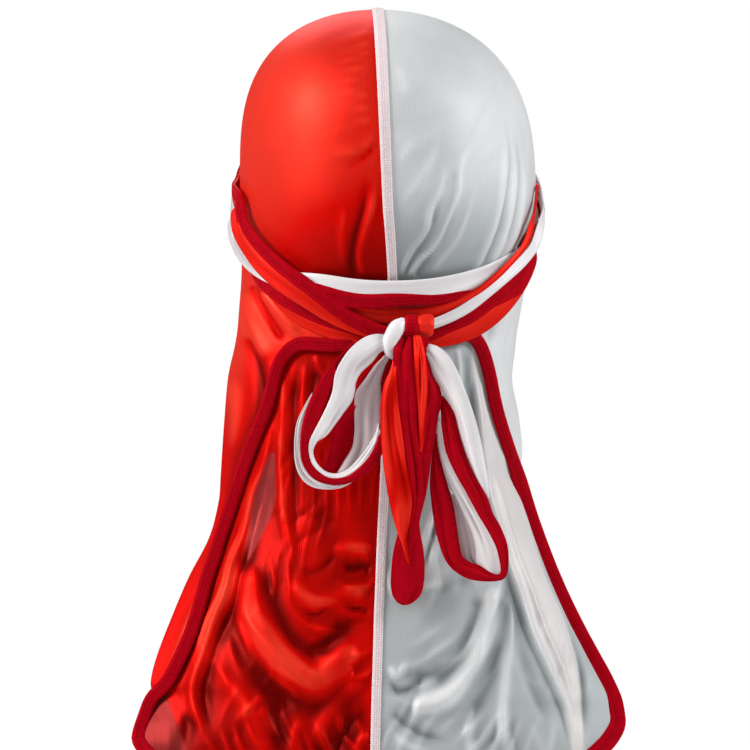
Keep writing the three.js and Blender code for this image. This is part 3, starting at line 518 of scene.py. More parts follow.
def u_under(side, x, z, off):
    """Place on the sheet under a point that stands off it at this x."""
    u_at = lambda x: halved(np.zeros(np.shape(x)), np.ones(np.shape(x)), 28,
                            lambda u: side * (sheet(side, u, z)[..., 0] - x) < 0)
    u = u_at(x)
    for _ in range(4):
        u = u_at(x - sheet_normal(side, u, z)[..., 0] * off)
    return u


# Creases of the folded-back side; they run together at the bend of the binding
LAPEL_FOLDS = {
    -1: [
        (-2.6, 1.6, 3.0, (0.1, 0.2), [(-73, -146), (-69, -156), (-62, -168), (-55, -178)]),
        (2.4, 2.2, 2.0, (0.1, 0.2), [(-67, -149), (-60, -158), (-53, -166), (-46, -174)]),
        (-1.6, 1.6, 2.2, (0.1, 0.3), [(-60, -148), (-53, -157), (-46, -165), (-40, -172)]),
        (2.0, 3.4, 3.0, (0.2, 0.3), [(-76, -150), (-73, -164), (-68, -178), (-62, -186)]),
        (-1.8, 3.0, 3.6, (0.1, 0.2), [(-76, -172), (-69, -190), (-67, -212), (-73, -240)]),
        (1.4, 3.0, 3.0, (0.2, 0.3), [(-82, -196), (-80, -216), (-82, -238)]),
        (1.4, 2.2, 2.6, (0.2, 0.3), [(-97, -308), (-106, -328), (-114, -350), (-120, -362)]),
        (-1.2, 1.6, 2.0, (0.2, 0.3), [(-94, -312), (-102, -332), (-110, -352)]),
    ],
    1: [
        (1.5, 2.5, 3.0, (0.1, 0.3), [(70, -150), (62, -166), (58, -190), (62, -214)]),
        (-1.2, 2.0, 2.0, (0.1, 0.3), [(64, -150), (56, -166), (53, -180)]),
    ],
}


def lapel_points(side):
    """The folded-back side: a round bend at the edge of the tail, then the cloth lying over the tail."""
    fold_z, tape_x, tape_z = finely(EDGE[side], len(EDGE[side]) * 9 - 8)
    dx, dz = np.gradient(tape_x), np.gradient(tape_z)
    aside = (TAPE["width"] / 2 - TAPE["over_fold"]) / np.hypot(dx, dz)
    edge_x, edge_z = tape_x - side * dz * aside, tape_z + side * dx * aside
    edge_u = u_under(side, edge_x, edge_z, lift(side, edge_z))
    f = np.linspace(0, 1, LAPEL["columns"])[1:]
    rows = []
    for i in range(len(fold_z)):
        radius = float(lift(side, fold_z[i])) / 2
        end, normal = sheet(side, 1.0, fold_z[i]), sheet_normal(side, 1.0, fold_z[i])
        onward = unit(end - sheet(side, 0.99, fold_z[i]))
        bend = [end + normal * (radius + radius * math.sin(a)) + onward * (radius * math.cos(a))
                for a in np.radians([-90, -60, -30, 0, 30, 60, 90])]
        z = fold_z[i] * (1 - f) + edge_z[i] * f
        rows.append(bend + list(stood_off(side, 1 - f + edge_u[i] * f, z, lift(side, z))))
    grid = np.array(rows)
    normals = surface_normals(grid, np.s_[:, 8:])
    relief = fold_relief(grid[..., 0], grid[..., 2], LAPEL_FOLDS[side])
    inward = np.concatenate([np.zeros(7), f])[None, :]
    down = -grid[..., 2]
    # Painted shade: darker in crease valleys, painted highlight on their ridges; on the left also darker
    # lower down and toward the tape.
    shade = 0.08 - np.clip(relief * 0.32, -0.6, 0.4) + (side < 0) * (
        0.36 * smooth(180, 240, down)
        + 0.4 * smooth(0.3, 1, inward) * smooth(170, 190, down) * (1 - smooth(270, 320, down)))
    masks = {"shade": np.clip(shade, 0, 1), "sheer": shade * 0}
    return grid + normals * (relief * smooth(0, 0.3, inward))[..., None], masks


def wall_of_cloth(side, name, folds):
    """One half with its folded-back side as one mesh, given the thickness of the cloth."""
    pair = {name: relieved(side, *panel_points(side), folds), name + "_fold": lapel_points(side)}
    half, fold = (cloth_grid(part, grid, lengths_uv(grid), masks, flip=side > 0)
                  for part, (grid, masks) in pair.items())
    bm = bmesh.new()
    bm.from_mesh(half.data)
    bm.from_mesh(fold.data)
    bm.to_mesh(half.data)
    bm.free()
    bpy.data.objects.remove(fold)
    thicken(half, CLOTH_WALL)
    return half


def fed(tree, node, inputs):
    """Give a node's inputs values or other nodes' outputs."""
    for key, value in dict(inputs).items():
        if isinstance(value, bpy.types.NodeSocket):
            tree.links.new(value, node.inputs[key])
        else:
            node.inputs[key].default_value = value
    return node


def made(tree, kind, inputs=(), **settings):
    """A new node with its settings and inputs; its outputs come back."""
    node = tree.nodes.new("ShaderNode" + kind)
    for name, value in settings.items():
        setattr(node, name, value)
    return fed(tree, node, inputs).outputs


def calc(tree, operation, *values, clamp=False):
    """One sum worked out by a node."""
    return made(tree, "Math", enumerate(values), operation=operation, use_clamp=clamp)[0]


def mixed(tree, share, a, b):
    """Colour a where the share is 0, b where it is 1."""
    return made(tree, "Mix", {0: share, 6: a, 7: b}, data_type="RGBA")[2]


def node_group(name, inputs, outputs):
    """A node group with the named sockets: the tree, what it is given and what it puts out."""
    group = bpy.data.node_groups.new(name, "ShaderNodeTree")
    for way, sockets in (("INPUT", inputs), ("OUTPUT", outputs)):
        for socket, kind in sockets.items():
            group.interface.new_socket(socket, in_out=way, socket_type="NodeSocket" + kind)
    return group, group.nodes.new("NodeGroupInput").outputs, group.nodes.new("NodeGroupOutput")


def new_material(name):
    """A new node material: itself, its tree and its shader."""
    material = bpy.data.materials.new(name)
    material.use_nodes = True
    return material, material.node_tree, material.node_tree.nodes["Principled BSDF"]


def satin_group():
    """Fine warp lines, soft unevenness of the dye and small ripples of the weave."""
    group, given, out = node_group(
        "satin_weave", {"Light": "Color", "Deep": "Color", "Thread Lines": "Float"},
        {"Color": "Color", "Roughness": "Float", "Normal": "Vector"})
    place = made(group, "TexCoord")
    cloud = made(group, "TexNoise", {"Scale": 28, "Detail": 3, "Vector": place["Object"]})["Fac"]
    warp = made(group, "TexWave", {"Scale": 260, "Distortion": 1.2, "Detail": 2, "Vector": place["UV"]},
                wave_type="BANDS", bands_direction="X")["Fac"]
    lines = calc(group, "MULTIPLY", warp, given["Thread Lines"])
    dye = made(group, "MapRange", {"From Min": 0.35, "From Max": 0.7, "Value": cloud})["Result"]
    ripple = made(group, "TexNoise", {"Scale": 90, "Detail": 2, "Vector": place["Object"]})["Fac"]
    height = calc(group, "MULTIPLY_ADD", warp, 0.12, ripple)
    deep = calc(group, "MULTIPLY_ADD", dye, 0.5, lines, clamp=True)
    fed(group, out, {
        "Color": mixed(group, deep, given["Light"], given["Deep"]),
        "Roughness": made(group, "MapRange", {"To Min": 0.40, "To Max": 0.52, "Value": cloud})["Result"],
        "Normal": made(group, "Bump", {"Strength": 0.35, "Distance": 0.0006, "Height": height})["Normal"]})
    return group


satin_weave = satin_group()


def satin(name, colors, lines, metallic, tint, duller=0.0, sheer=None):
    """Satin from its painted highlight, own middle and painted shade colour; the piece's shade mask picks
    between them.
    """
    material, tree, shader = new_material(name)
    ramp = tree.nodes.new("ShaderNodeValToRGB")
    ramp.color_ramp.elements.new(0.4)
    for stop, color in zip(ramp.color_ramp.elements, colors):
        stop.color = (*color, 1)
    mask = lambda key: made(tree, "Attribute", attribute_name=key)["Fac"]
    color = fed(tree, ramp, {"Fac": mask("shade")}).outputs["Color"]
    if sheer:
        color = mixed(tree, mask("sheer"), color, (*sheer, 1))
    weave = made(tree, "Group", {"Light": color, "Deep": mixed(tree, 0.3, color, (*colors[2], 1)),
                                 "Thread Lines": lines}, node_tree=satin_weave)
    fed(tree, shader, {
        "Base Color": weave["Color"], "Roughness": calc(tree, "ADD", weave["Roughness"], duller),
        "Normal": weave["Normal"], "Metallic": metallic, "Specular IOR Level": 0.35,
        "Specular Tint": (*tint, 1)})
    return material


def dressed(piece, material, nodes):
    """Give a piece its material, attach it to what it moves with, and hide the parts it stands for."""
    piece.data.materials.append(material)
    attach(piece, "root")
    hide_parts(*nodes)
    return piece


# Lit, middle and deep colour of each satin: painted highlight, the satin's own colour and painted shade.
RED = ((0.97, 0.045, 0.023), (0.74, 0.0025, 0.001), (0.15, 0.0, 0.0))
WHITE = ((0.80, 0.80, 0.81), (0.54, 0.565, 0.575), (0.20, 0.22, 0.225))
red_satin = satin("satin_red", RED, 0.35, 0.35, (1, 0.10, 0.06), sheer=(0.30, 0.034, 0.034))
white_satin = satin("satin_white", WHITE, 0.45, 0.1, (1, 1, 1), 0.1, sheer=(0.74, 0.70, 0.69))
halves_of_cloth = {
    -1: dressed(wall_of_cloth(-1, "cloth_red", RED_FOLDS + SEAM_PUCKERS + RED_CREASES), red_satin,
                ["panel_red"]),
    1: dressed(wall_of_cloth(1, "cloth_white", WHITE_FOLDS + WHITE_CREASES), white_satin,
               ["panel_white"]),
}


# Crimson knit tape.
# A narrow folded knit tape binds the front edge, the tail and one edge of every strap; one or two rows
# of stitching run along it. Each length is a flat tube swept along the edge that it covers.
def strip_frame(line, facing):
    """The ways across a strip and straight out of it."""
    along = unit(np.gradient(line, axis=0))
    across = unit(np.cross(along, facing))
    return across, np.cross(across, along)


def swept(name, centres, facings, halves, thick, around=14, square=2.7, round_end=3):
    """A flat closed tube along a line, with its width lying in the cloth and rounded ends."""
    halves, thick = (np.broadcast_to(size, len(centres)) for size in (halves, thick))
    across, outward = strip_frame(centres, facings)
    shrink = np.ones(len(centres))
    for k in range(round_end):
        shrink[k] = shrink[-1 - k] = math.sqrt(1 - (1 - (k + 0.02) / round_end) ** 2)
    angle = np.linspace(0, 2 * math.pi, around + 1)
    wide, deep = (np.sign(part) * np.abs(part) ** (2 / square) for part in (np.cos(angle), np.sin(angle)))
    grid = (centres[:, None] + across[:, None] * (wide * (halves * shrink)[:, None])[..., None]
            + outward[:, None] * (deep * (thick / 2 * shrink)[:, None])[..., None])
    uv = np.stack(np.broadcast_arrays(wide * halves[:, None], run_of(centres)[:, None]), -1) * MM
    piece = cloth_grid(name, grid, uv, flip=True)
    bm = bmesh.new()
    bm.from_mesh(piece.data)
    bmesh.ops.remove_doubles(bm, verts=bm.verts, dist=1e-7)
    bmesh.ops.holes_fill(bm, edges=[e for e in bm.edges if e.is_boundary])
    bmesh.ops.recalc_face_normals(bm, faces=bm.faces)
    for face in bm.faces:
        face.smooth = True
    bm.to_mesh(piece.data)
    bm.free()
    return piece


def even_run(points, facings, step):
    """Stations at an even step along a line, a little rounded where it turns."""
    points, facings = np.array(points, float), np.array(facings, float)
    run = run_of(points)
    at = np.linspace(0, run[-1], max(8, int(run[-1] / step)))
    points, facings = (rounded(read_at(at, run, values), 3) for values in (points, facings))
    return points, unit(facings)


def square_to(way, vectors):
    """The vectors turned square to a way, at length 1."""
    return unit(vectors - way * np.sum(vectors * way, 1, keepdims=True))


FOLD_ENDS = {-1: -366.0, 1: -249.0}


def tail_tape_line(side):
    """Along the free edge of the folded-back side, then the edge of the tail, the corner and the hem."""
    top = FOLD_ENDS[side]
    rows = [row for row in EDGE[side] if row[0] > top + (8 if side < 0 else 10)]
    _, x, z = finely(rows, len(rows) * 5 - 4)
    off = lift(side, z) + TAPE["off"]
    u = u_under(side, x, z, off)
    on_fold, facings = stood_off(side, u, z, off), sheet_normal(side, np.minimum(u, 0.97), z)
    edge = [(1.0, z) for z in np.linspace(top, hem_z(side, 1.0), 12)]
    edge += [(u, hem_z(side, u)) for u in (0.985, 0.965, 0.94, 0.91, *np.linspace(0.87, 0, 30))]
    u, z = np.array(edge).T
    line, normal = sheet(side, u, z), sheet_normal(side, np.minimum(u, 0.97), z)
    out = unit(np.cross(np.gradient(line, axis=0), normal))
    out *= np.sign(np.sum(out * [side, 0, -2.2], 1, keepdims=True))
    stand = (lift(side, top) - 0.6) * (1 - smooth(0, 14, top - z))
    down_side = smooth(0.8, 1, u)[:, None]
    line += out * (TAPE["width"] / 2 - TAPE["over_tail"] + 0.7 * down_side) + normal * stand[:, None]
    line[:, 0] += side * SEAM_HALF_GAP * (1 - u)
    line[:, 1:2] -= 1.6 * down_side
    facings = unit(np.vstack([facings, normal]) + [0, -1.9, 0])
    line, facings = even_run(np.vstack([on_fold, line]), facings, TAPE["step"])
    joint = int(np.argmin(np.abs(line[:, 2] - top)))
    rounded(line[joint - 11:joint + 11], 24 if side > 0 else 4)
    return line, facings


def front_tape_line():
    """Along the front edge of both halves, from the left temple to the right one."""
    points, facings = [], []
    for side in (-1, 1):
        edge, above = (crown_curve(side, FAN["first"] + further)[0] for further in (0, 4))
        out = unit(edge - above)
        order = slice(None, None, -1) if side < 0 else slice(1, None)
        points += list((edge + out * (TAPE["width"] / 2 - TAPE["over_front"]))[order])
        facings += list(square_to(out, edge - EAR_AXIS)[order])
    return even_run(points, facings, TAPE["front_step"])


def stitch_group():
    """One row of stitches along a strip: across and along come from the strip's own UV, in metres."""
    group, given, out = node_group("stitch_row", dict.fromkeys(("Row", "Pitch", "Length", "Width"), "Float"),
                                   {"Mask": "Float"})
    sum_of = lambda operation, *values, **clamp: calc(group, operation, *values, **clamp)
    place = made(group, "SeparateXYZ", {0: made(group, "TexCoord")["UV"]})
    away = sum_of("ABSOLUTE", sum_of("SUBTRACT", place["X"], given["Row"]))
    row = sum_of("SUBTRACT", 1.6, sum_of("DIVIDE", away, given["Width"]), clamp=True)
    step = sum_of("FRACT", sum_of("DIVIDE", place["Y"], given["Pitch"]))
    centred = sum_of("ABSOLUTE", sum_of("SUBTRACT", step, 0.5))
    left = sum_of("SUBTRACT", sum_of("MULTIPLY", given["Length"], 0.5), centred)
    dash = sum_of("MULTIPLY_ADD", left, 9.0, 0.5, clamp=True)
    fed(group, out, {"Mask": sum_of("MULTIPLY", row, dash)})
    return group


stitch_row = stitch_group()


def knit_tape(name, light, deep, thread, rows, strength, ribs):
    """Knit tape: ribs across it, a soft nap, and rows of stitches sunk in it."""
    material, tree, shader = new_material(name)
    place = made(tree, "TexCoord")
    nap = made(tree, "TexNoise", {"Scale": 220, "Detail": 4, "Vector": place["Object"]})["Fac"]
    rib = made(tree, "TexWave", {"Scale": 0.314 / (ribs * MM), "Distortion": 0.8, "Vector": place["UV"]},
               wave_type="BANDS", bands_direction="Y")["Fac"]
    knit = mixed(tree, calc(tree, "MULTIPLY_ADD", rib, 0.45, nap, clamp=True), (*deep, 1), (*light, 1))
    marks = 0.0
    for row, pitch, length, width in rows:
        mark = made(tree, "Group", {"Row": row * MM, "Pitch": pitch * MM, "Length": length,
                                    "Width": width * MM}, node_tree=stitch_row)["Mask"]
        marks = calc(tree, "MAXIMUM", marks, mark)
    height = calc(tree, "MULTIPLY_ADD", marks, -1.0, rib)
    fed(tree, shader, {
        "Base Color": mixed(tree, calc(tree, "MULTIPLY", marks, strength), knit, (*thread, 1)),
        "Normal": made(tree, "Bump", {"Strength": 0.5, "Distance": 0.0005, "Height": height})["Normal"],
        "Roughness": 0.85, "Specular IOR Level": 0.2, "Specular Tint": (*light, 1)})
    return material


# Rows of stitches: place across the tape, pitch, sewn share of the pitch, thickness of the thread
crimson_tape = knit_tape("crimson_tape", (0.48, 0.0015, 0.010), (0.28, 0.0004, 0.0045), (0.10, 0.0, 0.002),
                         [(0.9, 1.5, 0.6, 0.35), (-0.6, 1.5, 0.5, 0.25)], 0.55, 0.8)


def crimson_edge(name, node, *tube, **shape):
    """A length of crimson tape that stands for one part."""
    return dressed(swept(name, *tube, **shape), crimson_tape, [node])


for side, hand in ((-1, "left"), (1, "right")):
    line, facing = tail_tape_line(side)
    half = TAPE["width"] / 2 + 0.9 * (side > 0) * smooth(236, 256, -line[:, 2])
    crimson_edge("tape_tail_" + hand, "tail_binding_" + hand, line, facing, half,
                               TAPE["thickness"])
crimson_edge("tape_front", "front_binding", *front_tape_line(), TAPE["width"] / 2,
                              TAPE["thickness"])


# Centre seam.
# A flat white knit tape covers the joint of the two halves from the forehead to the hem and is a little
# narrower on the tail. Three rows of fine dull red stitches hold it down.
SEAM = {"half": 3.2, "narrower": 0.7, "thickness": 1.2, "off": 0.9, "step": 2.0}


def seam_line():
    """Over the joint, lying on the cloth."""
    points, facings = [], []
    for degrees in np.linspace(FAN["first"] + 0.6, FAN["last"], 90):
        points.append(sum(crown_curve(side, degrees)[0][0] for side in (-1, 1)) / 2)
        facings.append((0, math.cos(math.radians(degrees)), math.sin(math.radians(degrees))))
    for z in np.linspace(FAN["pivot_z"], HEM_Z + 0.6, 150)[1:]:
        points.append((sheet(-1, 0, z) + sheet(1, 0, z)) / 2)
        facings.append((0, -1, 0))
    points, facings = even_run(points, facings, SEAM["step"])
    facings = square_to(unit(np.gradient(points, axis=0)), facings)
    return points + facings * SEAM["off"], facings


seam_tape = knit_tape("seam_tape", (0.86, 0.76, 0.78), (0.74, 0.62, 0.65), (0.56, 0.30, 0.32),
                      [(0.7, 1.25, 0.5, 0.3), (-0.5, 1.25, 0.5, 0.3), (-1.7, 1.25, 0.4, 0.22)], 0.6, 1.25)
line, facing = seam_line()
half = SEAM["half"] - SEAM["narrower"] * smooth(0.3, 0.6, np.linspace(0, 1, len(line)))
seam = dressed(swept("seam_tape", line, facing, half, SEAM["thickness"]), seam_tape, ["center_seam"])


# Straps.
# Two long satin straps, each bound along one edge in crimson, go from the temples across the nape, round
# the forehead and back to the knot. A short upper run of the red one shows across the nape.

# Rows: place, height, distance off the cloth, half width. The place is x across the back, or past the
# ears the angle round the head, 180 at the forehead.
STRAP_WAYS = {
    "red_round": [
        (-112, -96, 2.3, 5.5), (-98, -103, 2.4, 5.2), (-79, -119, 2.6, 3.8), (-75.5, -131, 2.8, 3.4),
        (-68.5, -144.5, 3.2, 3.4), (-60, -152.6, 3.5, 4.4), (-50, -159.6, 3.6, 5.6), (-40, -164.8, 3.6, 6.1),
        (-24, -170.4, 3.8, 6.2), (-1.6, -174.4, 4.2, 5.4), (20, -174.6, 4.4, 5.4), (33, -171.4, 4.8, 7.0),
        (44, -167, 5.2, 7.6), (52, -161.4, 5.8, 7.8), (60.5, -153.4, 6.4, 7.6), (68.6, -143, 6.6, 7.2),
        (74, -132, 6.2, 7.0), (77.6, -121, 5.2, 6.4), (91, -111, 4.4, 5.6), (104, -101, 4.2, 6.5),
        (118, -93, 4.4, 7.5), (134, -84, 4.6, 8.5), (155, -74, 4.6, 8.5), (180, -72, 4.6, 8.5),
        (203, -67, 4.6, 8.5), (218, -70, 5.2, 8.5), (234, -77, 5.6, 8.0), (250, -88, 4.6, 6.6),
        (262, -95, 3.6, 5.4), (-80.4, -100, 4.8, 4.8), (-79.8, -107.5, 6.2, 5.4), (-77.8, -116.6, 7.4, 6.5),
        (-71.6, -126, 8.0, 7.0), (-63.6, -134.8, 8.2, 7.6), (-53, -143.2, 8.2, 7.5), (-40.8, -151, 8.2, 6.9),
        (-29.5, -159, 8.4, 6.0), (-17, -166, 8.6, 4.9), (-5, -171, 8.8, 4.0), (4, -172.6, 8.8, 3.4)],
    "white_round": [
        (112, -99, 1.9, 4.6), (97, -107.5, 1.6, 3.2), (77.4, -119.4, 1.7, 2.8), (73, -127, 2.1, 3.4),
        (66, -133.2, 2.7, 4.8), (60, -137.2, 2.9, 5.6), (49, -142.8, 3.6, 6.4), (27.6, -147.9, 5.6, 6.7),
        (6.4, -149.3, 6.2, 6.6), (-14.8, -149.8, 6.2, 7.6), (-35, -146.9, 6.0, 7.2), (-49, -144.8, 5.6, 5.8),
        (-59.5, -142.2, 5.6, 4.4), (-69.6, -137.4, 5.8, 4.1), (-77.4, -129.9, 6.0, 4.0),
        (-82.2, -119.8, 6.2, 4.0), (-83, -109, 5.6, 4.2), (-95, -102, 4.6, 6.0), (-112, -97, 4.4, 7.5),
        (-128, -94, 4.6, 8), (-143, -91, 4.8, 8), (-158, -86, 6.9, 8.5), (-180, -79, 7.1, 8.5),
        (-205, -79, 7.1, 8.5), (-230, -84, 6.6, 7.6), (-250, -91, 4.6, 6.0), (-264, -97, 3.8, 4.6),
        (-273, -104, 4.2, 3.4), (81.6, -113, 7.2, 2.9), (78.2, -123.6, 8.2, 2.9), (71.6, -132.2, 8.4, 2.9),
        (62.8, -140.2, 8.4, 2.8), (52, -149.0, 8.4, 2.7), (41.3, -157.0, 8.4, 2.7), (28, -164, 8.6, 2.5),
        (16, -168.4, 8.6, 2.2)],
    "red_inner": [
        (-30.7, -156.5, 4.0, 4.0), (-7, -161.2, 4.6, 4.4), (10, -162, 4.8, 4.4), (27.6, -158.6, 5.4, 3.4),
        (39, -153.4, 6.6, 2.4), (49, -147.2, 7.6, 1.7), (59.4, -138.6, 7.9, 1.6), (67, -131, 7.9, 1.5),
        (73.4, -122.8, 7.6, 1.8), (76.4, -114, 5.8, 2.2), (78.2, -106, 3.4, 1.8), (79.2, -99.5, 2.2, 1.3),
        (79.4, -95, 2.0, 1.0), (95, -93, 1.5, 0.8), (106, -91, 1.2, 0.4)],
}
STRAP = {"step": 2.2, "wall": 0.9, "columns": 17, "wrinkle": 0.32, "curl": 0.5}
STRAP_TAPE = {"thickness": 1.3, "off": 0.35, "past_edge": 0.5}


def head_round(angle, z):
    """Cloth surface all round the head: angle 0 at the nape, 90 at the right side, 180 at the forehead."""
    angle, z = np.broadcast_arrays(np.asarray(angle, float), np.asarray(z, float))
    wrapped = (angle + 180) % 360 - 180
    side, turn = np.where(wrapped < 0, -1, 1), np.radians(np.abs(wrapped))
    rise = np.maximum(0, z - CROWN["middle_z"]) / CROWN["rise"]
    shrink = (1 - rise ** ROUND["top"]) ** (1 / ROUND["side"])
    low, behind = z < FAN["pivot_z"], np.cos(turn) > 0
    left, right, seam_x, nape, ear = (column(SECTIONS, k, z) for k in range(1, 6))
    half = np.where(low, np.where(side < 0, left, right), CROWN["half_width"] * shrink)
    length = CROWN["half_length"] * shrink
    end = np.where(behind, np.where(low, nape, -length), length)
    across, back = (np.abs(part) ** (2 / ROUND["plan"]) for part in (np.sin(turn), np.cos(turn)))
    return np.stack([np.where(low & behind, seam_x, 0) * (1 - across) + side * half * across,
                     np.where(low, ear, 0) * (1 - back) + end * back, z], -1)


def head_facing(angle, z):
    """The way the cloth round the head looks."""
    normal = unit(np.cross(head_round(angle + 1.5, z) - head_round(angle - 1.5, z),
                           head_round(angle, z - 1.5) - head_round(angle, z + 1.5)))
    return normal * np.sign(np.sum(normal * head_round(angle, z) * [1, 1, 0], -1, keepdims=True))


def strap_line(rows):
    """Middle line, facing and half width of a strap that follows the rows."""
    ways = []
    for place, z, off, half in rows:
        before = lambda angle: (head_round(angle, z) + head_facing(angle, z) * off)[0] < place
        angle = float(halved(-96.0, 96.0, 29, before)) if abs(place) < 90 else place
        if ways:
            angle += 360 * round((ways[-1][0] - angle) / 360)
        ways.append((angle, z, off, half))
    angle, z, off, half = finely(ways, len(rows) * 14)
    facing = head_facing(angle, z)
    line = head_round(angle, z) + facing * off[:, None]
    run = run_of(line)
    at = np.linspace(0, run[-1], int(run[-1] / STRAP["step"]))
    line, facing = (rounded(read_at(at, run, values), 4) for values in (line, facing))
    loose = smooth(4.4, 6.6, np.interp(at, run, off)) * smooth(-6, 20, -line[:, 1])
    return line, unit(facing - np.outer(loose, [0, 1, 0])), np.interp(at, run, half)


def pleats(seed, waves, v, bend, wander, swelling):
    """Seeded soft lengthwise pleats that wander along a strip."""
    chance = np.random.default_rng(seed)
    total = 0
    for wave in waves:
        phase, drift, swell = chance.uniform(0, 6.3, 3)
        total = total + (np.cos(wave * math.pi * v + phase + bend * np.sin(wander + drift))
                         * (0.6 + 0.4 * np.sin(swelling + swell)) / wave)
    return total


def satin_strip(line, facing, half, seed):
    """A flat satin strip with its pleats, curled back a little at the edges."""
    across, outward = strip_frame(line, facing)
    v, run = np.linspace(-1, 1, STRAP["columns"]), run_of(line)[:, None]
    relief = STRAP["wrinkle"] * pleats(seed, (1.3, 2.1, 3.4), v, 1.3, run / 33, run / 21)
    grid = (line[:, None] + across[:, None] * (v * half[:, None])[..., None]
            + outward[:, None] * (relief - STRAP["curl"] * v**4)[..., None])
    # Painted shade in the pleats' valleys and painted highlight on their crests.
    return grid, {"shade": np.clip(0.16 - 0.55 * relief, 0, 1)}


def edge_tape(name, node, up, line, facing, half, width):
    """Crimson tape along one edge of a strap; up 1 puts it on the upper edge, -1 on the lower one."""
    across = strip_frame(line, facing)[0]
    way = np.sign(np.median(across[:, 2][np.abs(facing[:, 1]) > 0.5]))
    beside = (np.maximum(half - width, 0) + STRAP_TAPE["past_edge"]) * up * way
    centres = line + across * beside[:, None] + facing * STRAP_TAPE["off"]
    return crimson_edge(name, node, centres, facing, np.minimum(width, half), STRAP_TAPE["thickness"],
                        around=12)


# Lit, middle and deep colour of each strap satin: painted highlight, its own colour and painted shade.
STRAP_RED = ((0.92, 0.026, 0.014), (0.66, 0.003, 0.001), (0.18, 0.0, 0.0))
STRAP_WHITE = ((0.88, 0.86, 0.87), (0.78, 0.74, 0.76), (0.42, 0.36, 0.38))
strap_satin = {"red": satin("strap_red_satin", STRAP_RED, 0.3, 0.3, (1, 0.14, 0.10)),
               "white": satin("strap_white_satin", STRAP_WHITE, 0.3, 0.1, (1, 1, 1), 0.05)}
for number, (name, rows) in enumerate(STRAP_WAYS.items()):
    color = name.split("_")[0]
    node = "strap_" + color
    line, facing, half = strap_line(rows)
    grid, masks = satin_strip(line, facing, half, 11 + number)
    if name == "white_round":
        # Painted shade on the white strap's far left, where the left lamp lights it most.
        masks["shade"] = np.clip(masks["shade"] + 0.6 * smooth(58, 72, -line[:, :1]), 0, 1)
    strap = dressed(cloth_grid("strap_" + name, grid, lengths_uv(grid), masks), strap_satin[color],
                    [node])
    thicken(strap, STRAP["wall"])
    edges = []
    if name == "red_round":
        f = np.linspace(0, 1, len(line))
        width = 2.5 + 1.4 * smooth(0.06, 0.2, f) + 3.6 * (f < 0.5) * smooth(54, 70, line[:, 0])
        edges = [edge_tape("tape_on_red_strap", node, 1, line, facing, half, width)]
    if name == "white_round":
        width = np.interp(-line[:, 0], [-46, -36, -20, 0, 36], [1.2, 2.2, 3.0, 3.9, 4.8])
        shown = int(np.argmax(line[:, 0] < -44))
        ends = (values[:shown] for values in (line, facing, half, width))
        edges = [edge_tape("tape_on_white_strap", node, -1, *ends)]


# Knot and bow.
# The strap ends are tied over the seam: a white turn, a crimson and red turn beside it, a white loop on
# each side and a red and crimson end hanging between them. Each ribbon is ruled between its two edges.
BOW_CORNER, BOW_STEP = (-54.6, -154.8), 0.1082
RIBBON = {"wall": 0.8, "columns": 19, "per_row": 8, "full_width": 8}

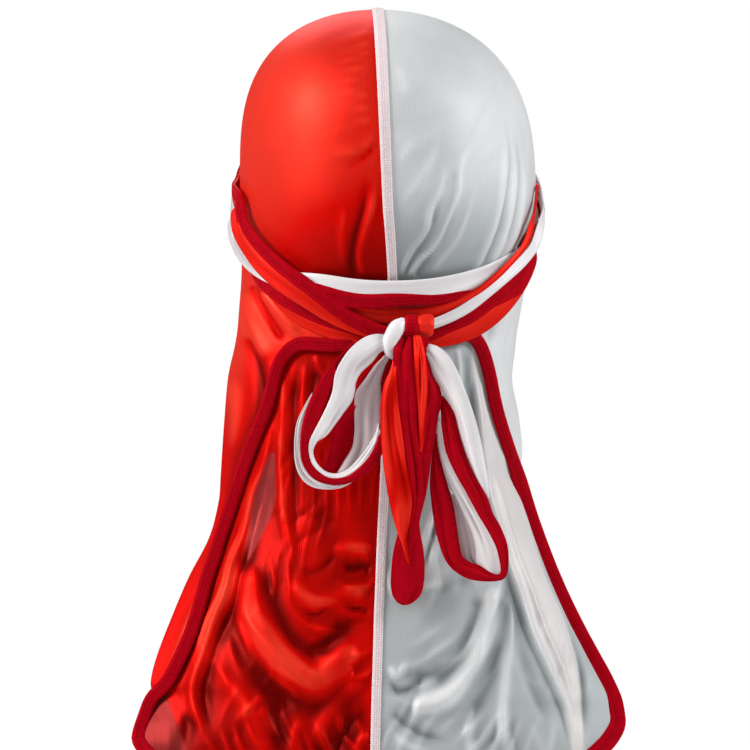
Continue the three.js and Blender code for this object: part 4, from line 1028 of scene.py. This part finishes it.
# Rows: across, down and depth of both edges; across and down are steps from a corner above the left loop
BOW = {
    "loop_left_face": ("bow_loop_left", "white", 1.8, [
        (488, 172, -94, 488, 242, -94), (440, 170, -96, 458, 262, -95), (385, 188, -98, 424, 306, -96),
        (322, 238, -99.5, 372, 354, -96.5), (272, 308, -100.5, 346, 402, -97),
        (246, 370, -101, 340, 450, -97), (236, 440, -101, 326, 495, -97), (216, 500, -101, 290, 545, -97),
        (182, 572, -101, 250, 600, -97.5), (146, 640, -101, 205, 658, -98), (124, 690, -101, 158, 690, -98.5),
        (120, 740, -101, 138, 738, -98.5), (138, 800, -101, 152, 788, -98.5),
        (185, 848, -101, 192, 832, -98.5), (240, 870, -100.5, 244, 848, -98),
        (300, 864, -100, 296, 834, -97.5), (362, 834, -99, 346, 792, -97), (420, 776, -98, 396, 728, -96),
        (458, 706, -97, 440, 660, -95), (470, 640, -96.5, 462, 600, -94.5)]),
    "loop_left_inside": ("bow_loop_left", "shade", 1.0, [
        (498, 262, -93.5, 506, 290, -93.5), (440, 322, -93, 486, 330, -93), (392, 390, -92.8, 468, 400, -93),
        (348, 455, -92.8, 470, 470, -93), (342, 540, -93, 472, 560, -93.5), (342, 640, -93.5, 474, 640, -94),
        (330, 720, -94, 460, 720, -94.5), (290, 790, -95, 420, 790, -95.5), (258, 842, -96, 350, 836, -96)]),
    "loop_left_shadow": ("bow_loop_left", "tape", 0.6, [
        (420, 330, -92, 470, 330, -92), (352, 420, -91.8, 420, 420, -92), (322, 500, -91.5, 400, 500, -91.8),
        (252, 590, -91.5, 380, 600, -91.8), (228, 680, -92, 370, 690, -92), (208, 770, -93, 340, 780, -92.5),
        (195, 840, -94.5, 290, 846, -94)]),
    # A crimson sheet that stands for shaded cloth deep inside the left loop: painted shade.
    "loop_left_hollow": ("bow_loop_left", "tape", 0.4, [
        (506, 286, -92.2, 534, 292, -92.4), (470, 344, -91.8, 540, 346, -92),
        (452, 400, -91.8, 545, 402, -92), (460, 460, -92, 530, 466, -92),
        (468, 520, -92.4, 500, 524, -92.4)]),
    "loop_left_sliver": ("bow_loop_left", "white", 0.3, [
        (136, 452, -97, 138, 456, -97), (92, 528, -97.3, 116, 524, -97), (60, 604, -97.5, 98, 604, -97),
        (50, 700, -97.5, 86, 700, -97), (56, 800, -97.5, 92, 784, -97), (88, 872, -97.5, 128, 846, -97),
        (140, 910, -97.3, 192, 884, -97), (205, 920, -97, 262, 896, -97), (270, 914, -96.8, 300, 892, -97),
        (328, 888, -96.6, 326, 886, -96.8)]),
    "end_crimson": ("bow_tail_middle", "tape", 1.8, [
        (640, 185, -95, 700, 185, -95), (640, 300, -97.5, 705, 300, -97.5),
        (640, 370, -98.5, 722, 372, -98.5), (645, 430, -99, 756, 430, -98.5),
        (648, 500, -99.2, 766, 500, -98.5), (640, 560, -99.4, 748, 562, -98.6),
        (630, 640, -99.6, 736, 642, -98.8), (612, 750, -99.8, 716, 752, -99),
        (600, 850, -100, 702, 852, -99.2), (590, 940, -100, 688, 940, -99.4),
        (582, 1010, -100, 672, 1010, -99.6), (566, 1080, -100, 656, 1080, -99.6),
        (548, 1150, -99.8, 662, 1145, -99.4), (532, 1215, -99.4, 674, 1210, -99),
        (522, 1290, -99.2, 681, 1290, -98.8), (518, 1375, -99, 677, 1375, -98.6),
        (526, 1430, -98.8, 660, 1432, -98.6), (548, 1464, -98.6, 626, 1466, -98.6),
        (574, 1480, -98.4, 594, 1480, -98.4)]),
    "end_crimson_top": ("bow_tail_middle", "tape", 1.0, [
        (560, 190, -95.5, 622, 186, -95.5), (532, 240, -98.5, 640, 240, -98.6),
        (530, 310, -101, 643, 300, -101.2), (540, 400, -102, 646, 400, -102.2),
        (545, 500, -102.4, 646, 500, -102.6), (556, 600, -102.4, 642, 600, -102.6),
        (570, 700, -102.4, 650, 700, -102.4), (588, 800, -102.2, 664, 800, -102.2),
        (602, 900, -102, 674, 900, -102), (614, 980, -101.8, 672, 985, -101.8),
        (606, 1060, -101.5, 658, 1065, -101.5), (592, 1130, -101.2, 640, 1130, -101.2),
        (598, 1200, -100.8, 618, 1200, -100.8)]),
    "end_red": ("bow_tail_middle", "red", 1.4, [
        (532, 296, -99, 540, 300, -101), (514, 350, -100.4, 545, 352, -102.6),
        (488, 410, -101, 548, 420, -103.2), (470, 500, -101.4, 554, 510, -103.6),
        (469, 600, -101.6, 566, 610, -103.8), (474, 700, -101.6, 580, 710, -103.8),
        (484, 800, -101.6, 596, 810, -103.6), (498, 900, -101.6, 612, 905, -103.4),
        (512, 980, -101.6, 620, 985, -103.2), (528, 1050, -101.6, 612, 1055, -103),
        (556, 1140, -101.4, 596, 1145, -102.8), (582, 1210, -101.2, 600, 1215, -102.4),
        (604, 1284, -101, 608, 1284, -101.6)]),
    "end_red_thin": ("bow_tail_middle", "red", 0.9, [
        (628, 176, -97, 664, 178, -97), (630, 250, -101.4, 680, 250, -100.8),
        (632, 330, -103, 691, 330, -102), (640, 420, -103.2, 695, 420, -102.2),
        (648, 500, -103.2, 692, 500, -102.2), (652, 580, -102.8, 688, 580, -102),
        (654, 660, -102.4, 680, 660, -101.8), (656, 740, -101.8, 666, 740, -101.4)]),
    "loop_right_face": ("bow_loop_right", "white", 2.0, [
        (672, 212, -94.5, 672, 250, -94.5), (740, 228, -97, 700, 312, -96.5), (792, 266, -99, 718, 372, -97),
        (832, 332, -100.4, 762, 430, -97.5), (864, 406, -101.2, 802, 500, -98),
        (894, 484, -101.4, 832, 572, -98.5), (926, 580, -101.4, 852, 655, -99),
        (954, 690, -101.2, 884, 760, -99.4), (974, 800, -101, 926, 858, -99.6),
        (988, 890, -100.6, 962, 925, -99.8), (994, 960, -100.2, 986, 968, -100)]),
    "loop_right_inside": ("bow_loop_right", "white", 1.0, [
        (744, 590, -94.8, 756, 600, -95), (738, 660, -94.8, 775, 690, -95.6),
        (748, 750, -95, 800, 770, -96.2), (784, 860, -95.2, 850, 870, -96.8),
        (838, 970, -95.4, 910, 980, -97.2), (884, 1065, -95.6, 965, 1075, -97.6),
        (914, 1140, -95.8, 1010, 1150, -97.8), (930, 1210, -96, 1046, 1230, -98),
        (936, 1285, -96.2, 1062, 1310, -98), (980, 1322, -96.4, 1056, 1346, -97.8)]),
    "loop_right_shade": ("bow_loop_right", "shade", 0.5, [
        (800, 930, -94.4, 846, 975, -95), (822, 1000, -94.4, 878, 1050, -95),
        (834, 1100, -94.4, 912, 1130, -95.2), (848, 1190, -94.4, 934, 1200, -95.4),
        (860, 1250, -94.6, 944, 1262, -95.6), (900, 1284, -94.8, 960, 1298, -95.8)]),
    "loop_right_edge": ("bow_loop_right", "tape", 1.0, [
        (758, 474, -96, 772, 470, -96), (762, 560, -98.4, 822, 545, -98.6),
        (768, 640, -99.6, 846, 640, -99.6), (786, 740, -100.4, 880, 750, -100.4),
        (830, 842, -101, 924, 856, -101), (884, 936, -101.2, 984, 962, -101.2),
        (940, 1040, -101.2, 1012, 1040, -101.2), (988, 1120, -101.2, 1052, 1112, -101.2),
        (1028, 1200, -101, 1081, 1192, -101), (1048, 1280, -100.6, 1087, 1275, -100.6),
        (1050, 1322, -100, 1078, 1338, -99.8), (1030, 1334, -99, 1044, 1364, -99),
        (990, 1318, -98.6, 962, 1368, -98.6), (946, 1290, -98.4, 884, 1352, -98.6),
        (898, 1274, -98.4, 822, 1312, -98.8), (864, 1244, -98.6, 782, 1262, -99),
        (850, 1186, -98.6, 752, 1182, -99), (836, 1100, -98.6, 730, 1090, -98.8),
        (820, 1000, -98.2, 716, 985, -98.4), (792, 900, -97.6, 708, 895, -98),
        (764, 800, -97, 714, 800, -97.4), (746, 720, -96.4, 724, 720, -96.6),
        (738, 650, -95.6, 732, 650, -95.6)]),
}
# Middle of the crimson tape round the left loop: across, down, half width
LEFT_EDGE = [
    (345, 205, 12), (262, 300, 14), (228, 350, 20), (203, 405, 30), (178, 460, 36), (150, 525, 37),
    (126, 590, 34), (106, 660, 26), (99, 740, 20), (112, 800, 19), (152, 855, 18), (215, 880, 17),
    (275, 882, 17), (335, 864, 20), (395, 818, 24), (440, 765, 26), (466, 705, 22), (474, 650, 14)]


def bow_place(across, down):
    """The x and z of a place counted in steps."""
    return BOW_CORNER[0] + across * BOW_STEP, BOW_CORNER[1] - down * BOW_STEP


def ruled_ribbon(name, rows, bulge, seed, wrinkle):
    """A ribbon between two edge lines, bulged between them and lightly pleated along its length."""
    edges = []
    for across, down, depth in (np.array(rows, float).T[k:k + 3] for k in (0, 3)):
        x, z = bow_place(across, down)
        edges.append(eased_path(np.stack([x, depth, z], -1), RIBBON["per_row"]))
    first, second = edges
    v = np.linspace(0, 1, RIBBON["columns"])
    grid = first[:, None] * (1 - v)[:, None] + second[:, None] * v[:, None]
    run = np.linspace(0, len(rows), len(grid))[:, None]
    wide = np.minimum(1, np.linalg.norm(second - first, axis=1) / RIBBON["full_width"])[:, None]
    folds = (2 * wrinkle * np.sin(np.pi * v) * wide
             * pleats(seed, (2.3, 3.9, 5.6), v, 1.2, run * 0.6, run * 0.9))
    grid += surface_normals(grid) * (folds + bulge * (1 - (2 * v - 1) ** 2) * wide)[..., None]
    # Painted shade: darker in the pleats' valleys and toward both edges, painted highlight on the pleats'
    # crests, and painted streaks of light and shade along the ribbon, stronger the more it wrinkles.
    shade = (0.16 - 0.6 * folds + 0.25 * np.abs(2 * v - 1) ** 6
             + 0.3 * (wrinkle - 0.5) * np.sin(run * 1.3 + 2.2 * v + seed))
    piece = cloth_grid(name, grid, lengths_uv(grid), {"shade": np.clip(shade, 0, 1)})
    thicken(piece, RIBBON["wall"])
    return piece, grid


# A darker lavender copy of the white satin: painted shade on the loops' inner faces.
painted_shade_satin = satin("painted_shade_satin", ((0.66, 0.54, 0.56), (0.54, 0.42, 0.44), (0.30, 0.20, 0.22)), 0.3, 0.1,
                    (1, 1, 1), 0.05)
BOW_FINISH = {"white": (strap_satin["white"], "white_satin", 0.8), "shade": (painted_shade_satin, "white_satin", 0.8),
              "red": (strap_satin["red"], "red_satin", 1.3), "tape": (crimson_tape, "crimson_binding", 1.3)}
across, down, half = np.array(LEFT_EDGE, float).T
x, z = bow_place(across, down)
line = eased_path(np.stack([x, x * 0, z], -1), 9)
f = np.linspace(0, 1, len(line))
line[:, 1] = -95 - 5.6 * smooth(0, 0.12, f) * (1 - 0.5 * smooth(0.8, 1, f))
left_edge = crimson_edge("loop_left_edge", "bow_loop_left", line, np.broadcast_to([0, -1.0, 0], line.shape),
                         np.interp(f, np.linspace(0, 1, len(half)), half * BOW_STEP), 2.0)
for number, (name, (node, finish, bulge, rows)) in enumerate(BOW.items()):
    material, slot, wrinkle = BOW_FINISH[finish]
    ribbon, grid = ruled_ribbon(name, rows, bulge, 40 + number, wrinkle)
    dressed(ribbon, material, [node])

# Turns of the knot: x, z, y, half width, thickness
KNOT = {
    "knot_white_turn": ("knot_white", "white", [
        (8.8, -166.2, -91, 2.6, 5.0), (7.0, -168.0, -94, 3.7, 6.5), (4.7, -169.8, -95.4, 4.4, 7.5),
        (2.4, -173.6, -96, 4.3, 8), (1.0, -177.6, -95.8, 3.9, 7.5), (0.7, -181.4, -94.6, 3.1, 6.5),
        (1.4, -185.2, -92.5, 1.8, 5)]),
    "knot_crimson_turn": ("knot_red", "tape", [
        (12.2, -163.8, -89.6, 3.5, 4), (12.2, -165.4, -93.6, 3.5, 4.4), (12.2, -168.4, -96, 3.5, 4.6),
        (12, -172.2, -95.2, 3.6, 4.4), (11.6, -175.4, -92, 3.4, 4)]),
    "knot_red_turn": ("knot_red", "red", [
        (19.6, -163.8, -89.4, 4.4, 4), (19.7, -165.2, -93, 4.5, 4.2), (19.6, -168.2, -95, 4.6, 4.4),
        (19.4, -171.2, -94, 4.5, 4.2), (19.0, -173.2, -91, 4.2, 4)]),
}
for name, (node, finish, rows) in KNOT.items():
    material, slot, _ = BOW_FINISH[finish]
    rows = np.array(rows)
    line = eased_path(rows[:, [0, 2, 1]], 9)
    half, thick = read_at(np.linspace(0, 1, len(line)), np.linspace(0, 1, len(rows)), rows[:, 3:]).T
    tangent = np.gradient(line, axis=0)
    facing = np.cross(tangent, np.cross([0, -1.0, 0], tangent))
    turn = swept(name, line, facing, half, thick, around=28, square=2.2, round_end=5)
    dressed(turn, material, [node])


# Camera, light and floor.
# A long lens looks level at the back of the wrap. Soft light falls from above left and a paler one from
# the right; the background is white and a pale floor lies well below the hem.
AIM = Vector((0, 0, -0.2))
WORLD_FILL = 0.14
FLOOR_Z, FLOOR_SIZE = -0.95, 9
CAMERA_AWAY, FRAME_WIDTH, SENSOR = 5.0, 0.3975, 36


def lamp(name, place, size, watts, color):
    """A round soft lamp turned to the wrap."""
    data = bpy.data.lights.new(name, "AREA")
    data.shape, data.size, data.energy, data.color = "DISK", size, watts, color
    light = placed(name, data)
    light.location = place
    light.rotation_euler = (AIM - Vector(place)).to_track_quat("-Z", "Y").to_euler()


lamp("left", (-2.1, -0.8, 1.15), 1.2, 72, (1, 0.985, 0.97))
lamp("right", (2.1, -0.65, 1.05), 1.0, 48, (0.97, 0.99, 1))
lamp("behind_camera", (-0.2, -3.2, 1.1), 0.9, 8, (1, 1, 1))
lamp("front", (-0.3, 1.8, 1.2), 1.2, 10, (1, 1, 1))

world = bpy.data.worlds.new("studio")
bpy.context.scene.world = world
world.use_nodes = True
seen = made(world.node_tree, "LightPath")["Is Camera Ray"]
glow = made(world.node_tree, "MapRange", {"To Min": WORLD_FILL, "To Max": 1.0, "Value": seen})["Result"]
fed(world.node_tree, world.node_tree.nodes["Background"], {"Strength": glow, "Color": (1, 1, 1, 1)})

floor_mesh = bpy.data.meshes.new("floor")
bm = bmesh.new()
bmesh.ops.create_grid(bm, x_segments=1, y_segments=1, size=FLOOR_SIZE)
for vert in bm.verts:
    vert.co.z = FLOOR_Z
bm.to_mesh(floor_mesh)
bm.free()
floor = placed("floor", floor_mesh)
pale, tree, shader = new_material("pale_floor")
fed(tree, shader, {"Base Color": (0.93, 0.93, 0.93, 1), "Roughness": 0.9})
floor.data.materials.append(pale)

camera_data = bpy.data.cameras.new("camera")
camera_data.sensor_width = SENSOR
camera_data.lens = SENSOR * (CAMERA_AWAY - 0.05) / FRAME_WIDTH
camera_data.clip_end = 60
camera = placed("camera", camera_data)
camera.location = (-0.0069, -CAMERA_AWAY, -0.1945)
camera.rotation_euler = (math.pi / 2, 0, 0)
bpy.context.scene.camera = camera
bpy.context.scene.view_settings.view_transform = "Standard"
